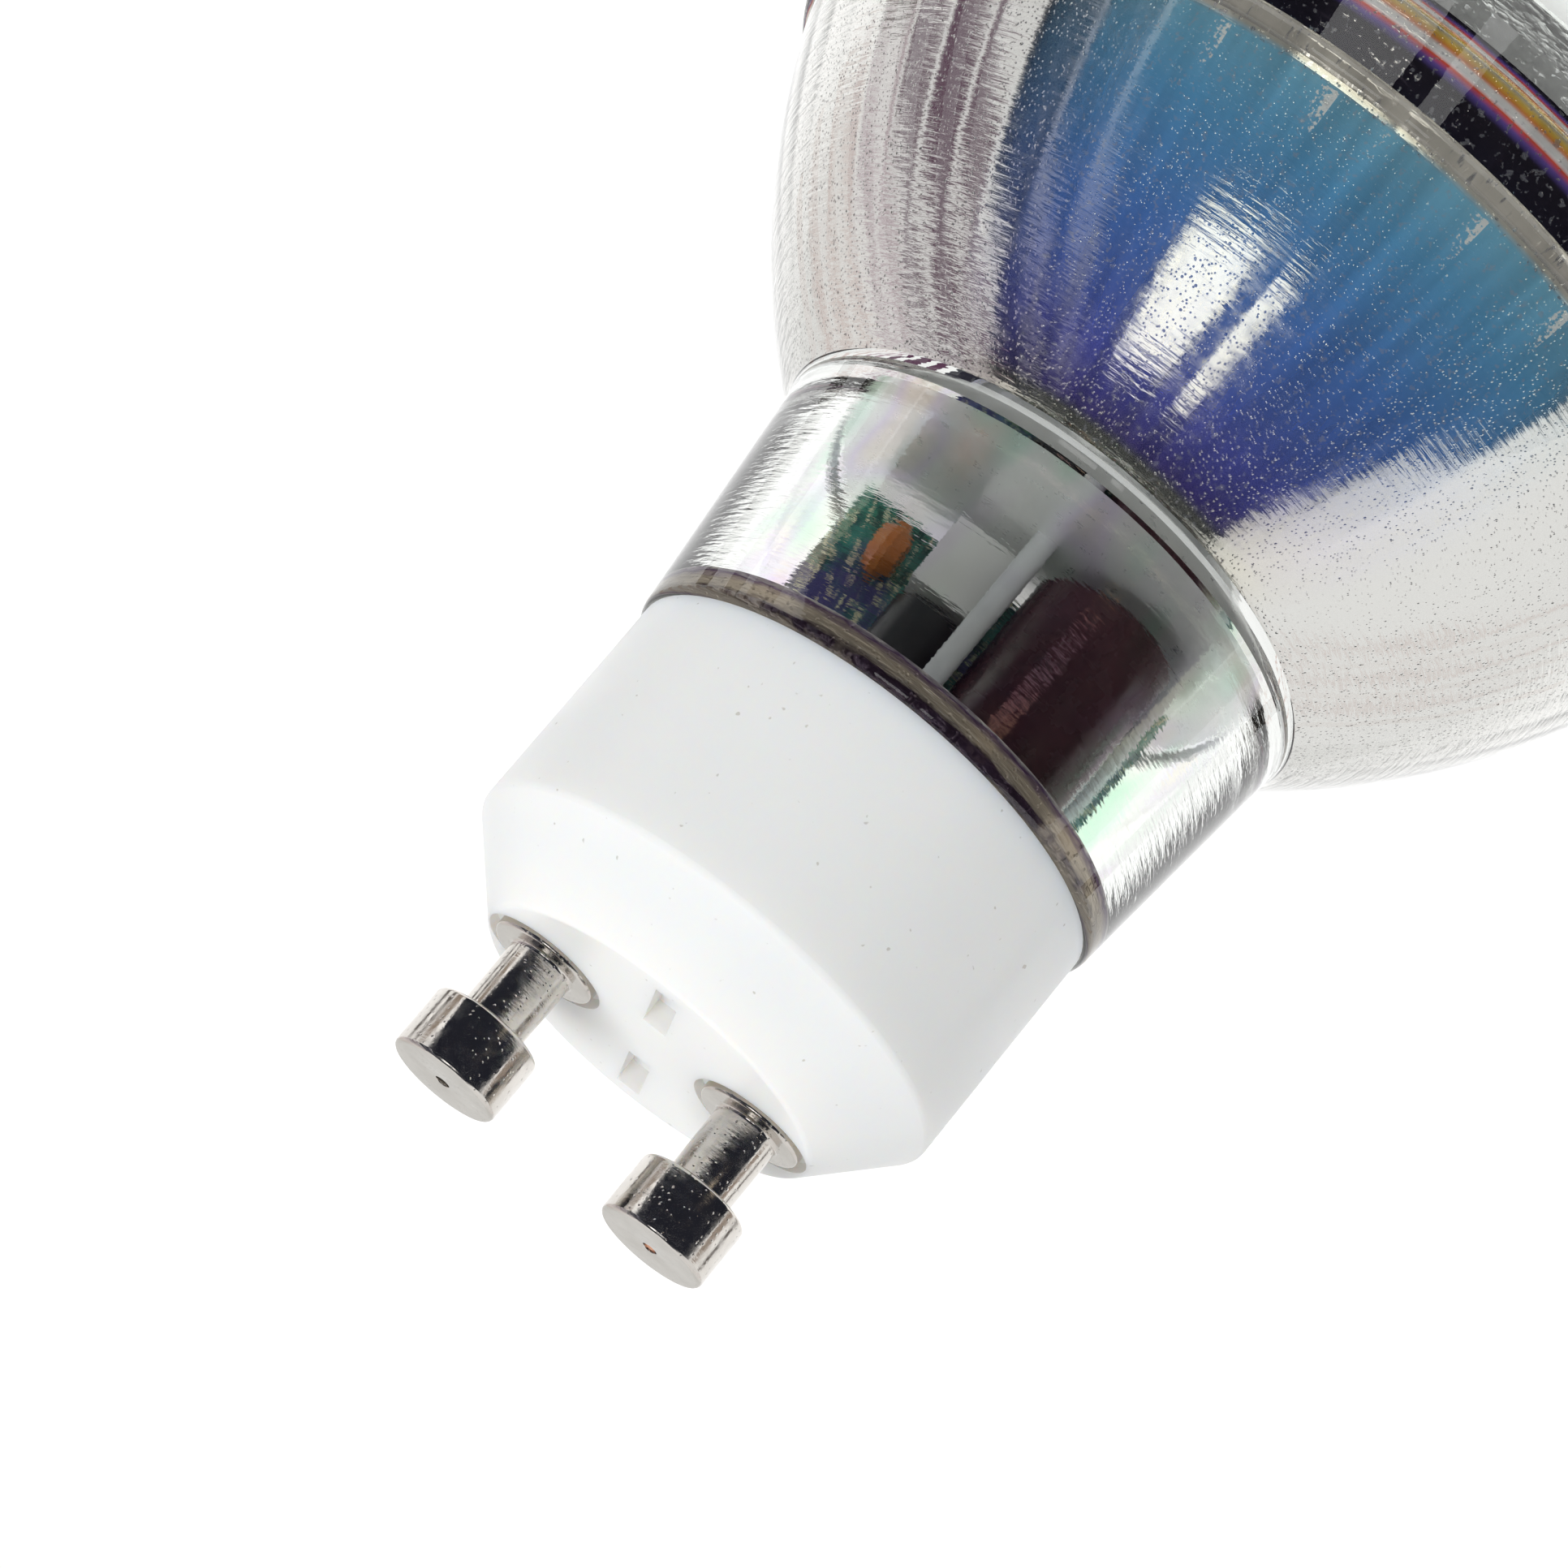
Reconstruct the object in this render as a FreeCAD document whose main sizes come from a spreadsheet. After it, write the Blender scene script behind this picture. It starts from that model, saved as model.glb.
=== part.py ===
import FreeCAD, Part
import math
import os

import Sketcher
from FreeCAD import Placement, Rotation, Vector

# A spotlight bulb with a two-pin twist base. It stands on its front rim at Z = 0 with its contact pins up,
# and its axis is the Z axis. The two pins lie on the X axis. Lengths are in millimetres.

SIZES = {
    # Heights along the axis, one above the other from the front rim to the pin ends.
    "rim_height": 4.0,
    "rim_slope": 0.95,
    "band_height": 2.5,
    "bead_width": 0.85,
    "bowl_height": 13.9,
    "neck_height": 11.4,
    "cap_side": 9.85,
    "cap_cone": 3.4,
    "pin_rise": 6.15,
    # Glass body, outside.
    "rim_diameter": 50.0,
    "shoulder_diameter": 48.0,
    "bead_diameter": 44.5,
    "bead_radius": 0.5,
    "bowl_diameter": 43.8,
    "bowl_radius": 33.0,
    "corner_diameter": 24.3,
    "corner_round": 0.9,
    "neck_diameter": 21.9,
    "lip_round": 0.45,
    "rim_round": 0.5,
    # Glass body, inside.
    "rim_wall": 1.2,
    "bowl_wall": 1.6,
    "neck_wall": 1.25,
    "ledge_width": 1.2,
    "ledge_height": 4.4,
    "seat_width": 0.8,
    "seat_drop": 0.2,
    "throat_drop": 0.2,
    "flute_count": 54,
    "flute_steps": 5,
    "flute_bend_rise": 0.4,
    "flute_runout": 0.5,
    # Front cover.
    "cover_thickness": 2.6,
    "cover_clearance": 0.15,
    "cover_bevel": 0.3,
    # LED board and its emitters.
    "led_board_diameter": 21.6,
    "led_board_thickness": 1.0,
    "led_board_clearance": 0.1,
    "emitter_length": 3.5,
    "emitter_width": 2.8,
    "emitter_thickness": 0.7,
    "emitter_ring_diameter": 13.2,
    "emitter_ring_count": 7,
    # Base cap.
    "cap_diameter": 21.5,
    "cap_end_diameter": 15.4,
    "cap_wall": 1.5,
    "cap_floor": 2.25,
    "cap_edge_round": 0.4,
    "spigot_length": 1.7,
    "spigot_wall": 1.1,
    "spigot_clearance": 0.15,
    "recess_diameter": 5.35,
    "recess_depth": 0.5,
    "slot_width": 1.05,
    "slot_length": 4.2,
    "slot_offset": 4.5,
    "slot_depth": 1.0,
    "rail_width": 1.0,
    "rail_reach": 0.9,
    "rail_length": 8.0,
    # Contact pins.
    "pin_spacing": 10.0,
    "pin_head_diameter": 4.75,
    "pin_head_length": 2.75,
    "pin_shank_diameter": 2.8,
    "pin_flange_diameter": 4.6,
    "pin_flange_thickness": 0.65,
    "pin_stem_diameter": 2.2,
    "pin_stem_clearance": 0.05,
    "pin_clinch_diameter": 3.2,
    "pin_clinch_thickness": 0.45,
    "pin_bore_diameter": 0.9,
    "pin_mouth_depth": 0.3,
    "pin_edge_round": 0.3,
    # Driver board.
    "board_side_clearance": 0.65,
    "board_thickness": 1.0,
    "board_offset": 1.4,
    "board_end_gap": 0.8,
    "board_cap_gap": 1.2,
    "board_rail_clearance": 0.12,
    "hole_clearance": 0.1,
    # Lead wires from the pins.
    "lead_diameter": 0.6,
    "live_tip_depth": 0.25,
    "neutral_tip_depth": 0.75,
    "lead_drop": 3.2,
    "lead_bend": 0.7,
    "lead_tail": 0.6,
    # Sleeved wires to the LED board.
    "sleeve_diameter": 1.0,
    "sleeve_bend": 0.8,
    "sleeve_near_place": 0.3,
    "sleeve_near_height": 11.3,
    "sleeve_near_stand_off": 4.5,
    "sleeve_far_place": -6.9,
    "sleeve_far_height": 8.3,
    "sleeve_far_stand_off": 1.0,
    # Parts on the driver board. Places are along X, heights are above the LED board.
    "part_gap": 0.15,
    "part_bevel": 0.2,
    "capacitor_diameter": 6.3,
    "capacitor_length": 12.0,
    "capacitor_place": -3.6,
    "capacitor_height": 1.0,
    "capacitor_groove": 0.25,
    "capacitor_groove_drop": 1.25,
    "choke_diameter": 3.2,
    "choke_length": 6.0,
    "choke_place": 2.1,
    "choke_height": 4.3,
    "film_width": 2.8,
    "film_depth": 3.2,
    "film_length": 3.2,
    "film_place": 2.2,
    "film_height": 0.7,
    "ceramic_diameter": 2.6,
    "ceramic_thickness": 1.3,
    "ceramic_bevel": 0.5,
    "ceramic_place": 5.2,
    "ceramic_height": 3.0,
    "fuse_diameter": 2.2,
    "fuse_length": 6.0,
    "fuse_waist_diameter": 1.87,
    "fuse_bell_length": 1.2,
    "fuse_bell_slope": 0.3,
    "fuse_place": 0.0,
    "fuse_height": 15.6,
    "fuse_lead_reach": 1.6,
    "bridge_width": 4.7,
    "bridge_length": 3.9,
    "bridge_thickness": 1.5,
    "bridge_place": 0.0,
    "bridge_height": 15.0,
    "chip_width": 4.9,
    "chip_length": 3.9,
    "chip_thickness": 1.4,
    "chip_place": 1.5,
    "chip_height": 5.5,
    "resistor_width": 2.0,
    "resistor_length": 1.25,
    "resistor_thickness": 0.5,
    "resistor_count": 4,
    "resistor_place": -4.6,
    "resistor_height": 2.4,
    "resistor_pitch": 2.1,
}


class Size(float):
    """A number that also carries the sheet formula it comes from."""

    def __new__(cls, value, text):
        made = super().__new__(cls, value)
        made.text = text
        return made

    def __add__(self, other):
        return combine(self, "+", other, float(self) + float(other))

    def __radd__(self, other):
        return combine(other, "+", self, float(other) + float(self))

    def __sub__(self, other):
        return combine(self, "-", other, float(self) - float(other))

    def __rsub__(self, other):
        return combine(other, "-", self, float(other) - float(self))

    def __mul__(self, other):
        return combine(self, "*", other, float(self) * float(other))

    def __rmul__(self, other):
        return combine(other, "*", self, float(other) * float(self))

    def __truediv__(self, other):
        return combine(self, "/", other, float(self) / float(other))

    def __neg__(self):
        return combine(0.0, "-", self, -float(self))


def formula(value):
    """The sheet formula of a size, or a plain number as text."""
    return value.text if isinstance(value, Size) else repr(float(value))


def combine(left, sign, right, value):
    return Size(value, "(" + formula(left) + " " + sign + " " + formula(right) + ")")


def make_sheet(document):
    """Write every driving size to the sheet and hand back the named sizes."""
    sheet = document.addObject("Spreadsheet::Sheet", "Sizes")
    named = {}
    for row, (name, value) in enumerate(SIZES.items(), start=1):
        sheet.set("A" + str(row), name)
        sheet.set("B" + str(row), str(value))
        sheet.setAlias("B" + str(row), name)
        named[name] = Size(value, "Sizes." + name)
    document.recompute()
    return named


# How near an edge must lie to a wanted radius and height to be taken for it.
NEAR = 1e-3

doc = FreeCAD.newDocument("SpotlightBulb")
size = make_sheet(doc)
pieces = []


def origin_plane(body, role):
    return next(item for item in body.Origin.OriginFeatures if item.Role == role)


def new_body(name):
    body = doc.addObject("PartDesign::Body", name)
    body.Label = name
    return body


def new_sketch(body, role, name, offset=0.0):
    """A sketch on one of the body's own planes, moved along the plane's normal."""
    sketch = body.newObject("Sketcher::SketchObject", name)
    sketch.AttachmentSupport = [(origin_plane(body, role), "")]
    sketch.MapMode = "FlatFace"
    sketch.AttachmentOffset = Placement(Vector(0, 0, float(offset)), Rotation())
    if isinstance(offset, Size):
        sketch.setExpression("AttachmentOffset.Base.z", formula(offset))
    return sketch


def flat(corner):
    """A corner as a point of a sketch."""
    return Vector(float(corner[0]), float(corner[1]), 0)


def arc_between(start, end, radius):
    """The short arc from start to end: it turns left for a positive radius, right for a negative one."""
    first = flat(start)
    last = flat(end)
    chord = last.sub(first)
    left = Vector(-chord.y, chord.x, 0).normalize()
    side = 1.0 if radius > 0 else -1.0
    reach = math.sqrt(max(float(radius) ** 2 - (chord.Length / 2) ** 2, 0.0))
    centre = first.add(chord * 0.5).add(left * (side * reach))
    middle = centre.sub(left * (side * abs(float(radius))))
    return Part.Arc(first, middle, last)


def bind_constraint(sketch, constraint, value):
    number = sketch.addConstraint(constraint)
    if isinstance(value, Size):
        sketch.setExpression("Constraints[" + str(number) + "]", formula(value))


def draw(sketch, corners, closed=True):
    """Draw sides through the corners. A third value in a corner is the radius of its side."""
    sides = len(corners) if closed else len(corners) - 1
    ends = []
    for index in range(sides):
        start, end = corners[index], corners[(index + 1) % len(corners)]
        if len(start) == 2:
            sketch.addGeometry(Part.LineSegment(flat(start), flat(end)), False)
            ends.append((1, 2))
        else:
            sketch.addGeometry(arc_between(start, end, start[2]), False)
            ends.append((1, 2) if start[2] > 0 else (2, 1))
    for index in range(sides if closed else sides - 1):
        after = (index + 1) % sides
        sketch.addConstraint(Sketcher.Constraint("Coincident", index, ends[index][1], after, ends[after][0]))
    for index, corner in enumerate(corners):
        side, place = (index, ends[index][0]) if index < sides else (sides - 1, ends[sides - 1][1])
        bind_constraint(sketch, Sketcher.Constraint("DistanceX", side, place, float(corner[0])), corner[0])
        bind_constraint(sketch, Sketcher.Constraint("DistanceY", side, place, float(corner[1])), corner[1])
        if len(corner) == 3:
            radius = corner[2] if corner[2] > 0 else -corner[2]
            bind_constraint(sketch, Sketcher.Constraint("Radius", index, float(radius)), radius)


def draw_circle(sketch, centre, radius):
    """Draw one circle whose centre and radius follow the sheet."""
    number = sketch.addGeometry(Part.Circle(flat(centre), Vector(0, 0, 1), float(radius)), False)
    bind_constraint(sketch, Sketcher.Constraint("DistanceX", number, 3, float(centre[0])), centre[0])
    bind_constraint(sketch, Sketcher.Constraint("DistanceY", number, 3, float(centre[1])), centre[1])
    bind_constraint(sketch, Sketcher.Constraint("Radius", number, float(radius)), radius)


def draw_box(sketch, centre, width, depth):
    """Draw one upright rectangle about a centre."""
    first = sketch.GeometryCount
    left, right = centre[0] - width / 2, centre[0] + width / 2
    low, high = centre[1] - depth / 2, centre[1] + depth / 2
    corners = [(left, low), (right, low), (right, high), (left, high)]
    for index in range(4):
        sketch.addGeometry(Part.LineSegment(flat(corners[index]), flat(corners[(index + 1) % 4])), False)
    for index in range(4):
        after = first + (index + 1) % 4
        sketch.addConstraint(Sketcher.Constraint("Coincident", first + index, 2, after, 1))
    for index, corner in enumerate(corners):
        side = first + index
        bind_constraint(sketch, Sketcher.Constraint("DistanceX", side, 1, float(corner[0])), corner[0])
        bind_constraint(sketch, Sketcher.Constraint("DistanceY", side, 1, float(corner[1])), corner[1])


def revolve(body, name, corners):
    """Turn a closed outline of radius and height about the body's Z axis."""
    sketch = new_sketch(body, "XZ_Plane", name + "_outline")
    draw(sketch, corners)
    turned = body.newObject("PartDesign::Revolution", name)
    turned.Profile = sketch
    turned.ReferenceAxis = (sketch, ["V_Axis"])
    turned.Angle = 360
    sketch.Visibility = False
    doc.recompute()
    return turned


def extrude(body, kind, sketch, name, length, reverse=False):
    """A pad or a pocket from a sketch."""
    feature = body.newObject("PartDesign::" + kind, name)
    feature.Profile = sketch
    feature.Length = float(length)
    if isinstance(length, Size):
        feature.setExpression("Length", formula(length))
    feature.Reversed = reverse
    doc.recompute()
    return feature


def ring_names(shape, rings):
    """The names of the round edges about the Z axis that have these radii and heights."""
    names = []
    for index, edge in enumerate(shape.Edges, start=1):
        curve = edge.Curve
        if curve.TypeId != "Part::GeomCircle" or math.hypot(curve.Center.x, curve.Center.y) > NEAR:
            continue
        for radius, height in rings:
            if abs(curve.Radius - float(radius)) < NEAR and abs(curve.Center.z - float(height)) < NEAR:
                names.append("Edge" + str(index))
    return names


def round_rings(body, base, name, radius, rings):
    """Fillet the round edges of a turned feature."""
    fillet = body.newObject("PartDesign::Fillet", name)
    fillet.Base = (base, ring_names(base.Shape, rings))
    fillet.Radius = float(radius)
    fillet.setExpression("Radius", formula(radius))
    doc.recompute()
    return fillet


def bevel_rings(body, base, name, depth, rings):
    """Chamfer the round edges of a turned feature."""
    chamfer = body.newObject("PartDesign::Chamfer", name)
    chamfer.Base = (base, ring_names(base.Shape, rings))
    chamfer.Size = float(depth)
    chamfer.setExpression("Size", formula(depth))
    doc.recompute()
    return chamfer


def place(item, x=0.0, y=0.0, z=0.0):
    """Set a piece's place and tie it to the sheet."""
    item.Placement = Placement(Vector(float(x), float(y), float(z)), item.Placement.Rotation)
    for axis, value in (("x", x), ("y", y), ("z", z)):
        if isinstance(value, Size):
            item.setExpression("Placement.Base." + axis, formula(value))


def keep(item):
    """Add a finished piece to those that are written out."""
    pieces.append(item)
    return item


# Levels along the axis, each worked out from the one below it.
shoulder_level = size["rim_height"] + size["rim_slope"]
bead_level = shoulder_level + size["band_height"]
bowl_level = bead_level + size["bead_width"]
corner_level = bowl_level + size["bowl_height"]
joint_level = corner_level + size["neck_height"]
cone_level = joint_level + size["cap_side"]
end_level = cone_level + size["cap_cone"]
pin_level = end_level + size["pin_rise"]
seat_level = corner_level - size["seat_drop"]
led_level = seat_level - size["led_board_thickness"]
throat_level = led_level - size["throat_drop"]
floor_level = end_level - size["cap_floor"]

# Radii that several pieces share.
recess_radius = size["rim_diameter"] / 2 - size["rim_wall"]
neck_bore_radius = size["neck_diameter"] / 2 - size["neck_wall"]
throat_radius = size["led_board_diameter"] / 2 + size["led_board_clearance"]
cap_bore_radius = size["cap_diameter"] / 2 - size["cap_wall"]
spigot_radius = neck_bore_radius - size["spigot_clearance"]
spigot_bore = spigot_radius - size["spigot_wall"]
board_width = (spigot_bore - size["board_side_clearance"]) * 2


def fluted_wire(radius, level):
    """One closed ring of flat-faced flutes. The ridges between the flutes lie on the given radius."""
    count = int(size["flute_count"])
    ridges = []
    for number in range(count + 1):
        turn = 2 * math.pi * (number % count) / count
        ridges.append(Vector(radius * math.cos(turn), radius * math.sin(turn), level))
    return Part.makePolygon(ridges)


def bowl_inside():
    """The centre and radius of the arc inside the bowl, which shares its centre with the outside."""
    outer = float(size["bowl_radius"])
    low = Vector(float(size["bowl_diameter"]) / 2, float(bowl_level), 0)
    high = Vector(float(size["corner_diameter"]) / 2, float(corner_level), 0)
    chord = high.sub(low)
    inward = Vector(-chord.y, chord.x, 0).normalize()
    centre = low.add(chord * 0.5).add(inward * math.sqrt(outer**2 - (chord.Length / 2) ** 2))
    return centre, outer - float(size["bowl_wall"])


def flute_core():
    """The hollow of the reflector as a solid: fluted in the bowl and in the shoulder band below it."""
    centre, reach = bowl_inside()
    kink = float(bead_level + size["flute_bend_rise"])
    first = math.asin((float(throat_level) - centre.y) / reach)
    last = math.asin((kink - centre.y) / reach)
    steps = int(size["flute_steps"])
    wires = []
    for step in range(steps + 1):
        turn = first + (last - first) * step / steps
        wires.append(fluted_wire(centre.x + reach * math.cos(turn), centre.y + reach * math.sin(turn)))
    ledge, runout = float(size["ledge_height"]), float(size["flute_runout"])
    ledge_radius = float(recess_radius - size["ledge_width"])
    slope = (ledge_radius - centre.x - reach * math.cos(last)) / (kink - ledge)
    wires.append(fluted_wire(ledge_radius + slope * runout, ledge - runout))
    core = doc.addObject("Part::Feature", "flute_core")
    core.Shape = Part.makeLoft(wires, True, True)
    return core


def glass_reflector():
    """The pressed glass body: rim, shoulder band, bead, bowl and open neck, with flat flutes inside."""
    body = new_body("glass_blank")
    rim_radius = size["rim_diameter"] / 2
    corner = (size["corner_diameter"] / 2, corner_level)
    lip_radius = size["neck_diameter"] / 2
    corners = [
        (recess_radius, 0.0),
        (rim_radius, 0.0),
        (rim_radius, size["rim_height"]),
        (size["shoulder_diameter"] / 2, shoulder_level),
        (size["bead_diameter"] / 2, bead_level, size["bead_radius"]),
        (size["bowl_diameter"] / 2, bowl_level, size["bowl_radius"]),
        corner,
        (lip_radius, joint_level),
        (neck_bore_radius, joint_level),
        (throat_radius - size["seat_width"], seat_level),
        (throat_radius, seat_level),
        (throat_radius, size["ledge_height"]),
        (recess_radius, size["ledge_height"]),
    ]
    turned = revolve(body, "blank", corners)
    round_rings(body, turned, "corner_fillet", size["corner_round"], [corner])
    rim = round_rings(body, body.Tip, "rim_fillet", size["rim_round"], [(rim_radius, 0.0)])
    round_rings(body, rim, "lip_fillet", size["lip_round"], [(lip_radius, joint_level)])
    cut = doc.addObject("Part::Cut", "glass_reflector")
    cut.Base = body
    cut.Tool = flute_core()
    cut.Label = "glass_reflector"
    doc.recompute()
    return keep(cut)


def front_cover():
    """The clear disc behind the rim, seated on the ledge."""
    body = new_body("front_cover")
    radius = recess_radius - size["cover_clearance"]
    front = size["ledge_height"] - size["cover_thickness"]
    corners = [(0.0, front), (radius, front), (radius, size["ledge_height"]), (0.0, size["ledge_height"])]
    turned = revolve(body, "disc", corners)
    bevel_rings(body, turned, "cover_edge", size["cover_bevel"], [(radius, front)])
    return keep(body)


def base_cap():
    """The white moulded cap with its spigot in the neck, pin recesses, slots and board rails."""
    body = new_body("base_cap")
    cap_radius = size["cap_diameter"] / 2
    end_radius = size["cap_end_diameter"] / 2
    cone_drop = size["cap_cone"] - size["cap_floor"]
    corners = [
        (0.0, end_level),
        (end_radius, end_level),
        (cap_radius, cone_level),
        (cap_radius, joint_level),
        (spigot_radius, joint_level),
        (spigot_radius, joint_level - size["spigot_length"]),
        (spigot_bore, joint_level - size["spigot_length"]),
        (spigot_bore, joint_level),
        (cap_bore_radius, joint_level + size["spigot_wall"]),
        (cap_bore_radius, cone_level),
        (cap_bore_radius - cone_drop, floor_level),
        (0.0, floor_level),
    ]
    turned = revolve(body, "shell", corners)
    edges = [(end_radius, end_level), (cap_radius, cone_level)]
    round_rings(body, turned, "edge_fillet", size["cap_edge_round"], edges)
    recess = new_sketch(body, "XY_Plane", "recess_circles", end_level)
    holes = new_sketch(body, "XY_Plane", "stem_circles", end_level)
    hole_radius = size["pin_stem_diameter"] / 2 + size["pin_stem_clearance"]
    for side in (-1, 1):
        centre = (size["pin_spacing"] / 2 * side, 0.0)
        draw_circle(recess, centre, size["recess_diameter"] / 2)
        draw_circle(holes, centre, hole_radius)
    extrude(body, "Pocket", recess, "pin_recesses", size["recess_depth"])
    extrude(body, "Pocket", holes, "stem_holes", size["cap_floor"] + size["pin_clinch_thickness"])
    slots = new_sketch(body, "XY_Plane", "slot_boxes", end_level)
    for side in (-1, 1):
        draw_box(slots, (0.0, size["slot_offset"] * side), size["slot_width"], size["slot_length"])
    extrude(body, "Pocket", slots, "slots", size["slot_depth"])
    board_rails(body)
    return keep(body)


def board_rails(body):
    """Four short ribs under the cap's floor that hold the edges of the driver board."""
    sketch = new_sketch(body, "XY_Plane", "rail_boxes", floor_level)
    inner = board_width / 2 - size["rail_reach"]
    width = cap_bore_radius - inner
    shift = size["board_thickness"] / 2 + size["board_rail_clearance"] + size["rail_width"] / 2
    for side in (-1, 1):
        for face in (-1, 1):
            centre = ((inner + width / 2) * side, size["board_offset"] + shift * face)
            draw_box(sketch, centre, width, size["rail_width"])
    extrude(body, "Pad", sketch, "board_rails", size["rail_length"], reverse=True)


def contact_pin(name, side):
    """One hollow rivet pin. Its own zero height is the face of its flange that rests in the recess."""
    body = new_body(name)
    seat = end_level - size["recess_depth"]
    top = pin_level - seat
    floor = size["cap_floor"] - size["recess_depth"]
    bore = size["pin_bore_diameter"] / 2
    head = size["pin_head_diameter"] / 2
    shank = size["pin_shank_diameter"] / 2
    flange = size["pin_flange_diameter"] / 2
    stem = size["pin_stem_diameter"] / 2
    clinch = size["pin_clinch_diameter"] / 2
    corners = [
        (bore, -floor - size["pin_clinch_thickness"]),
        (clinch, -floor - size["pin_clinch_thickness"]),
        (clinch, -floor),
        (stem, -floor),
        (stem, 0.0),
        (flange, 0.0),
        (flange, size["pin_flange_thickness"]),
        (shank, size["pin_flange_thickness"]),
        (shank, top - size["pin_head_length"]),
        (head, top - size["pin_head_length"]),
        (head, top),
        (bore + size["pin_mouth_depth"], top),
        (bore, top - size["pin_mouth_depth"]),
    ]
    turned = revolve(body, "turned", corners)
    edges = [(head, top), (head, top - size["pin_head_length"])]
    round_rings(body, turned, "head_fillet", size["pin_edge_round"], edges)
    place(body, x=size["pin_spacing"] / 2 * side, z=seat)
    return keep(body)


def bent_wire(name, corners, bend, radius):
    """A wire in the YZ plane of its own body, down or across through square corners with equal bends."""
    body = new_body(name)
    path = new_sketch(body, "YZ_Plane", "route")
    (start_y, start_z), (turn_y, turn_z), (end_y, end_z) = corners
    across_first = start_z == turn_z
    if across_first:
        points = [(start_y, start_z), (turn_y + bend, turn_z, bend), (turn_y, turn_z - bend), (end_y, end_z)]
    else:
        points = [(start_y, start_z), (turn_y, turn_z + bend, bend), (turn_y + bend, turn_z), (end_y, end_z)]
    draw(path, points, closed=False)
    if across_first:
        profile = new_sketch(body, "XZ_Plane", "section", -start_y)
        draw_circle(profile, (0.0, start_z), radius)
    else:
        profile = new_sketch(body, "XY_Plane", "section", start_z)
        draw_circle(profile, (0.0, start_y), radius)
    pipe = body.newObject("PartDesign::AdditivePipe", "wire")
    pipe.Profile = profile
    pipe.Spine = (path, ["Edge1", "Edge2", "Edge3"])
    doc.recompute()
    return body


board_front = size["board_offset"] - size["board_thickness"] / 2
board_back = size["board_offset"] + size["board_thickness"] / 2
board_low = seat_level + size["board_end_gap"]
board_high = floor_level - size["board_cap_gap"]
lead_level = floor_level - size["lead_drop"]


def lead_wire(name, side, tip_depth):
    """A copper wire from the hole in a pin's head down the bore and into the driver board."""
    tip = pin_level - size["pin_mouth_depth"] - tip_depth
    corners = [(0.0, tip), (0.0, lead_level), (board_back + size["lead_tail"], lead_level)]
    wire = bent_wire(name, corners, size["lead_bend"], size["lead_diameter"] / 2)
    place(wire, x=size["pin_spacing"] / 2 * side)
    return keep(wire)


def sleeve_wire(name, sideways, level, stand_off):
    """A sleeved wire from the driver board that bends down to the back of the LED board."""
    stand = board_front - stand_off
    corners = [(board_back, level), (stand, level), (stand, seat_level)]
    wire = bent_wire(name, corners, size["sleeve_bend"], size["sleeve_diameter"] / 2)
    place(wire, x=sideways)
    return keep(wire)


def driver_board():
    """The narrow board that runs from the cap through the neck, drilled for its wires."""
    body = new_body("driver_board")
    sketch = new_sketch(body, "XZ_Plane", "board_outline", -board_back)
    middle = (board_low + board_high) / 2
    draw_box(sketch, (0.0, middle), board_width, board_high - board_low)
    extrude(body, "Pad", sketch, "board", size["board_thickness"])
    holes = new_sketch(body, "XZ_Plane", "hole_circles", -board_front)
    for side in (-1, 1):
        centre = (size["pin_spacing"] / 2 * side, lead_level)
        draw_circle(holes, centre, size["lead_diameter"] / 2 + size["hole_clearance"])
        fuse_end = size["fuse_place"] + (size["fuse_length"] / 2 + size["fuse_lead_reach"]) * side
        fuse_spot = (fuse_end, seat_level + size["fuse_height"])
        draw_circle(holes, fuse_spot, size["lead_diameter"] / 2 + size["hole_clearance"])
    for sideways, level, stand_off in sleeve_spots():
        draw_circle(holes, (sideways, level), size["sleeve_diameter"] / 2 + size["hole_clearance"])
    extrude(body, "Pocket", holes, "holes", size["board_thickness"])
    return keep(body)


def sleeve_spots():
    """Where each sleeved wire leaves the driver board, and how far it stands off the board."""
    near_level = seat_level + size["sleeve_near_height"]
    far_level = seat_level + size["sleeve_far_height"]
    return [
        (size["sleeve_near_place"], near_level, size["sleeve_near_stand_off"]),
        (size["sleeve_far_place"], far_level, size["sleeve_far_stand_off"]),
    ]


def stand_on_board(item, sideways, reach, level):
    """Place an upright round part so that its side stands just off the front of the board."""
    place(item, x=sideways, y=board_front - size["part_gap"] - reach, z=level)


def smoothing_capacitor():
    """The sleeved can, with the groove that is rolled round it near its sealed end."""
    body = new_body("smoothing_capacitor")
    radius = size["capacitor_diameter"] / 2
    length = size["capacitor_length"]
    groove = size["capacitor_groove"]
    groove_low = length - size["capacitor_groove_drop"]
    corners = [
        (0.0, 0.0),
        (radius, 0.0),
        (radius, groove_low - groove),
        (radius - groove, groove_low),
        (radius - groove, groove_low + groove),
        (radius, groove_low + 2 * groove),
        (radius, length),
        (0.0, length),
    ]
    turned = revolve(body, "can", corners)
    bevel_rings(body, turned, "can_edge", size["part_bevel"], [(radius, 0.0), (radius, length)])
    stand_on_board(body, size["capacitor_place"], radius, seat_level + size["capacitor_height"])
    return keep(body)


def choke():
    """A small drum choke in a dark sleeve."""
    body = new_body("choke")
    radius = size["choke_diameter"] / 2
    corners = [(0.0, 0.0), (radius, 0.0), (radius, size["choke_length"]), (0.0, size["choke_length"])]
    turned = revolve(body, "drum", corners)
    edges = [(radius, 0.0), (radius, size["choke_length"])]
    bevel_rings(body, turned, "drum_edge", size["part_bevel"], edges)
    stand_on_board(body, size["choke_place"], radius, seat_level + size["choke_height"])
    return keep(body)


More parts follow.
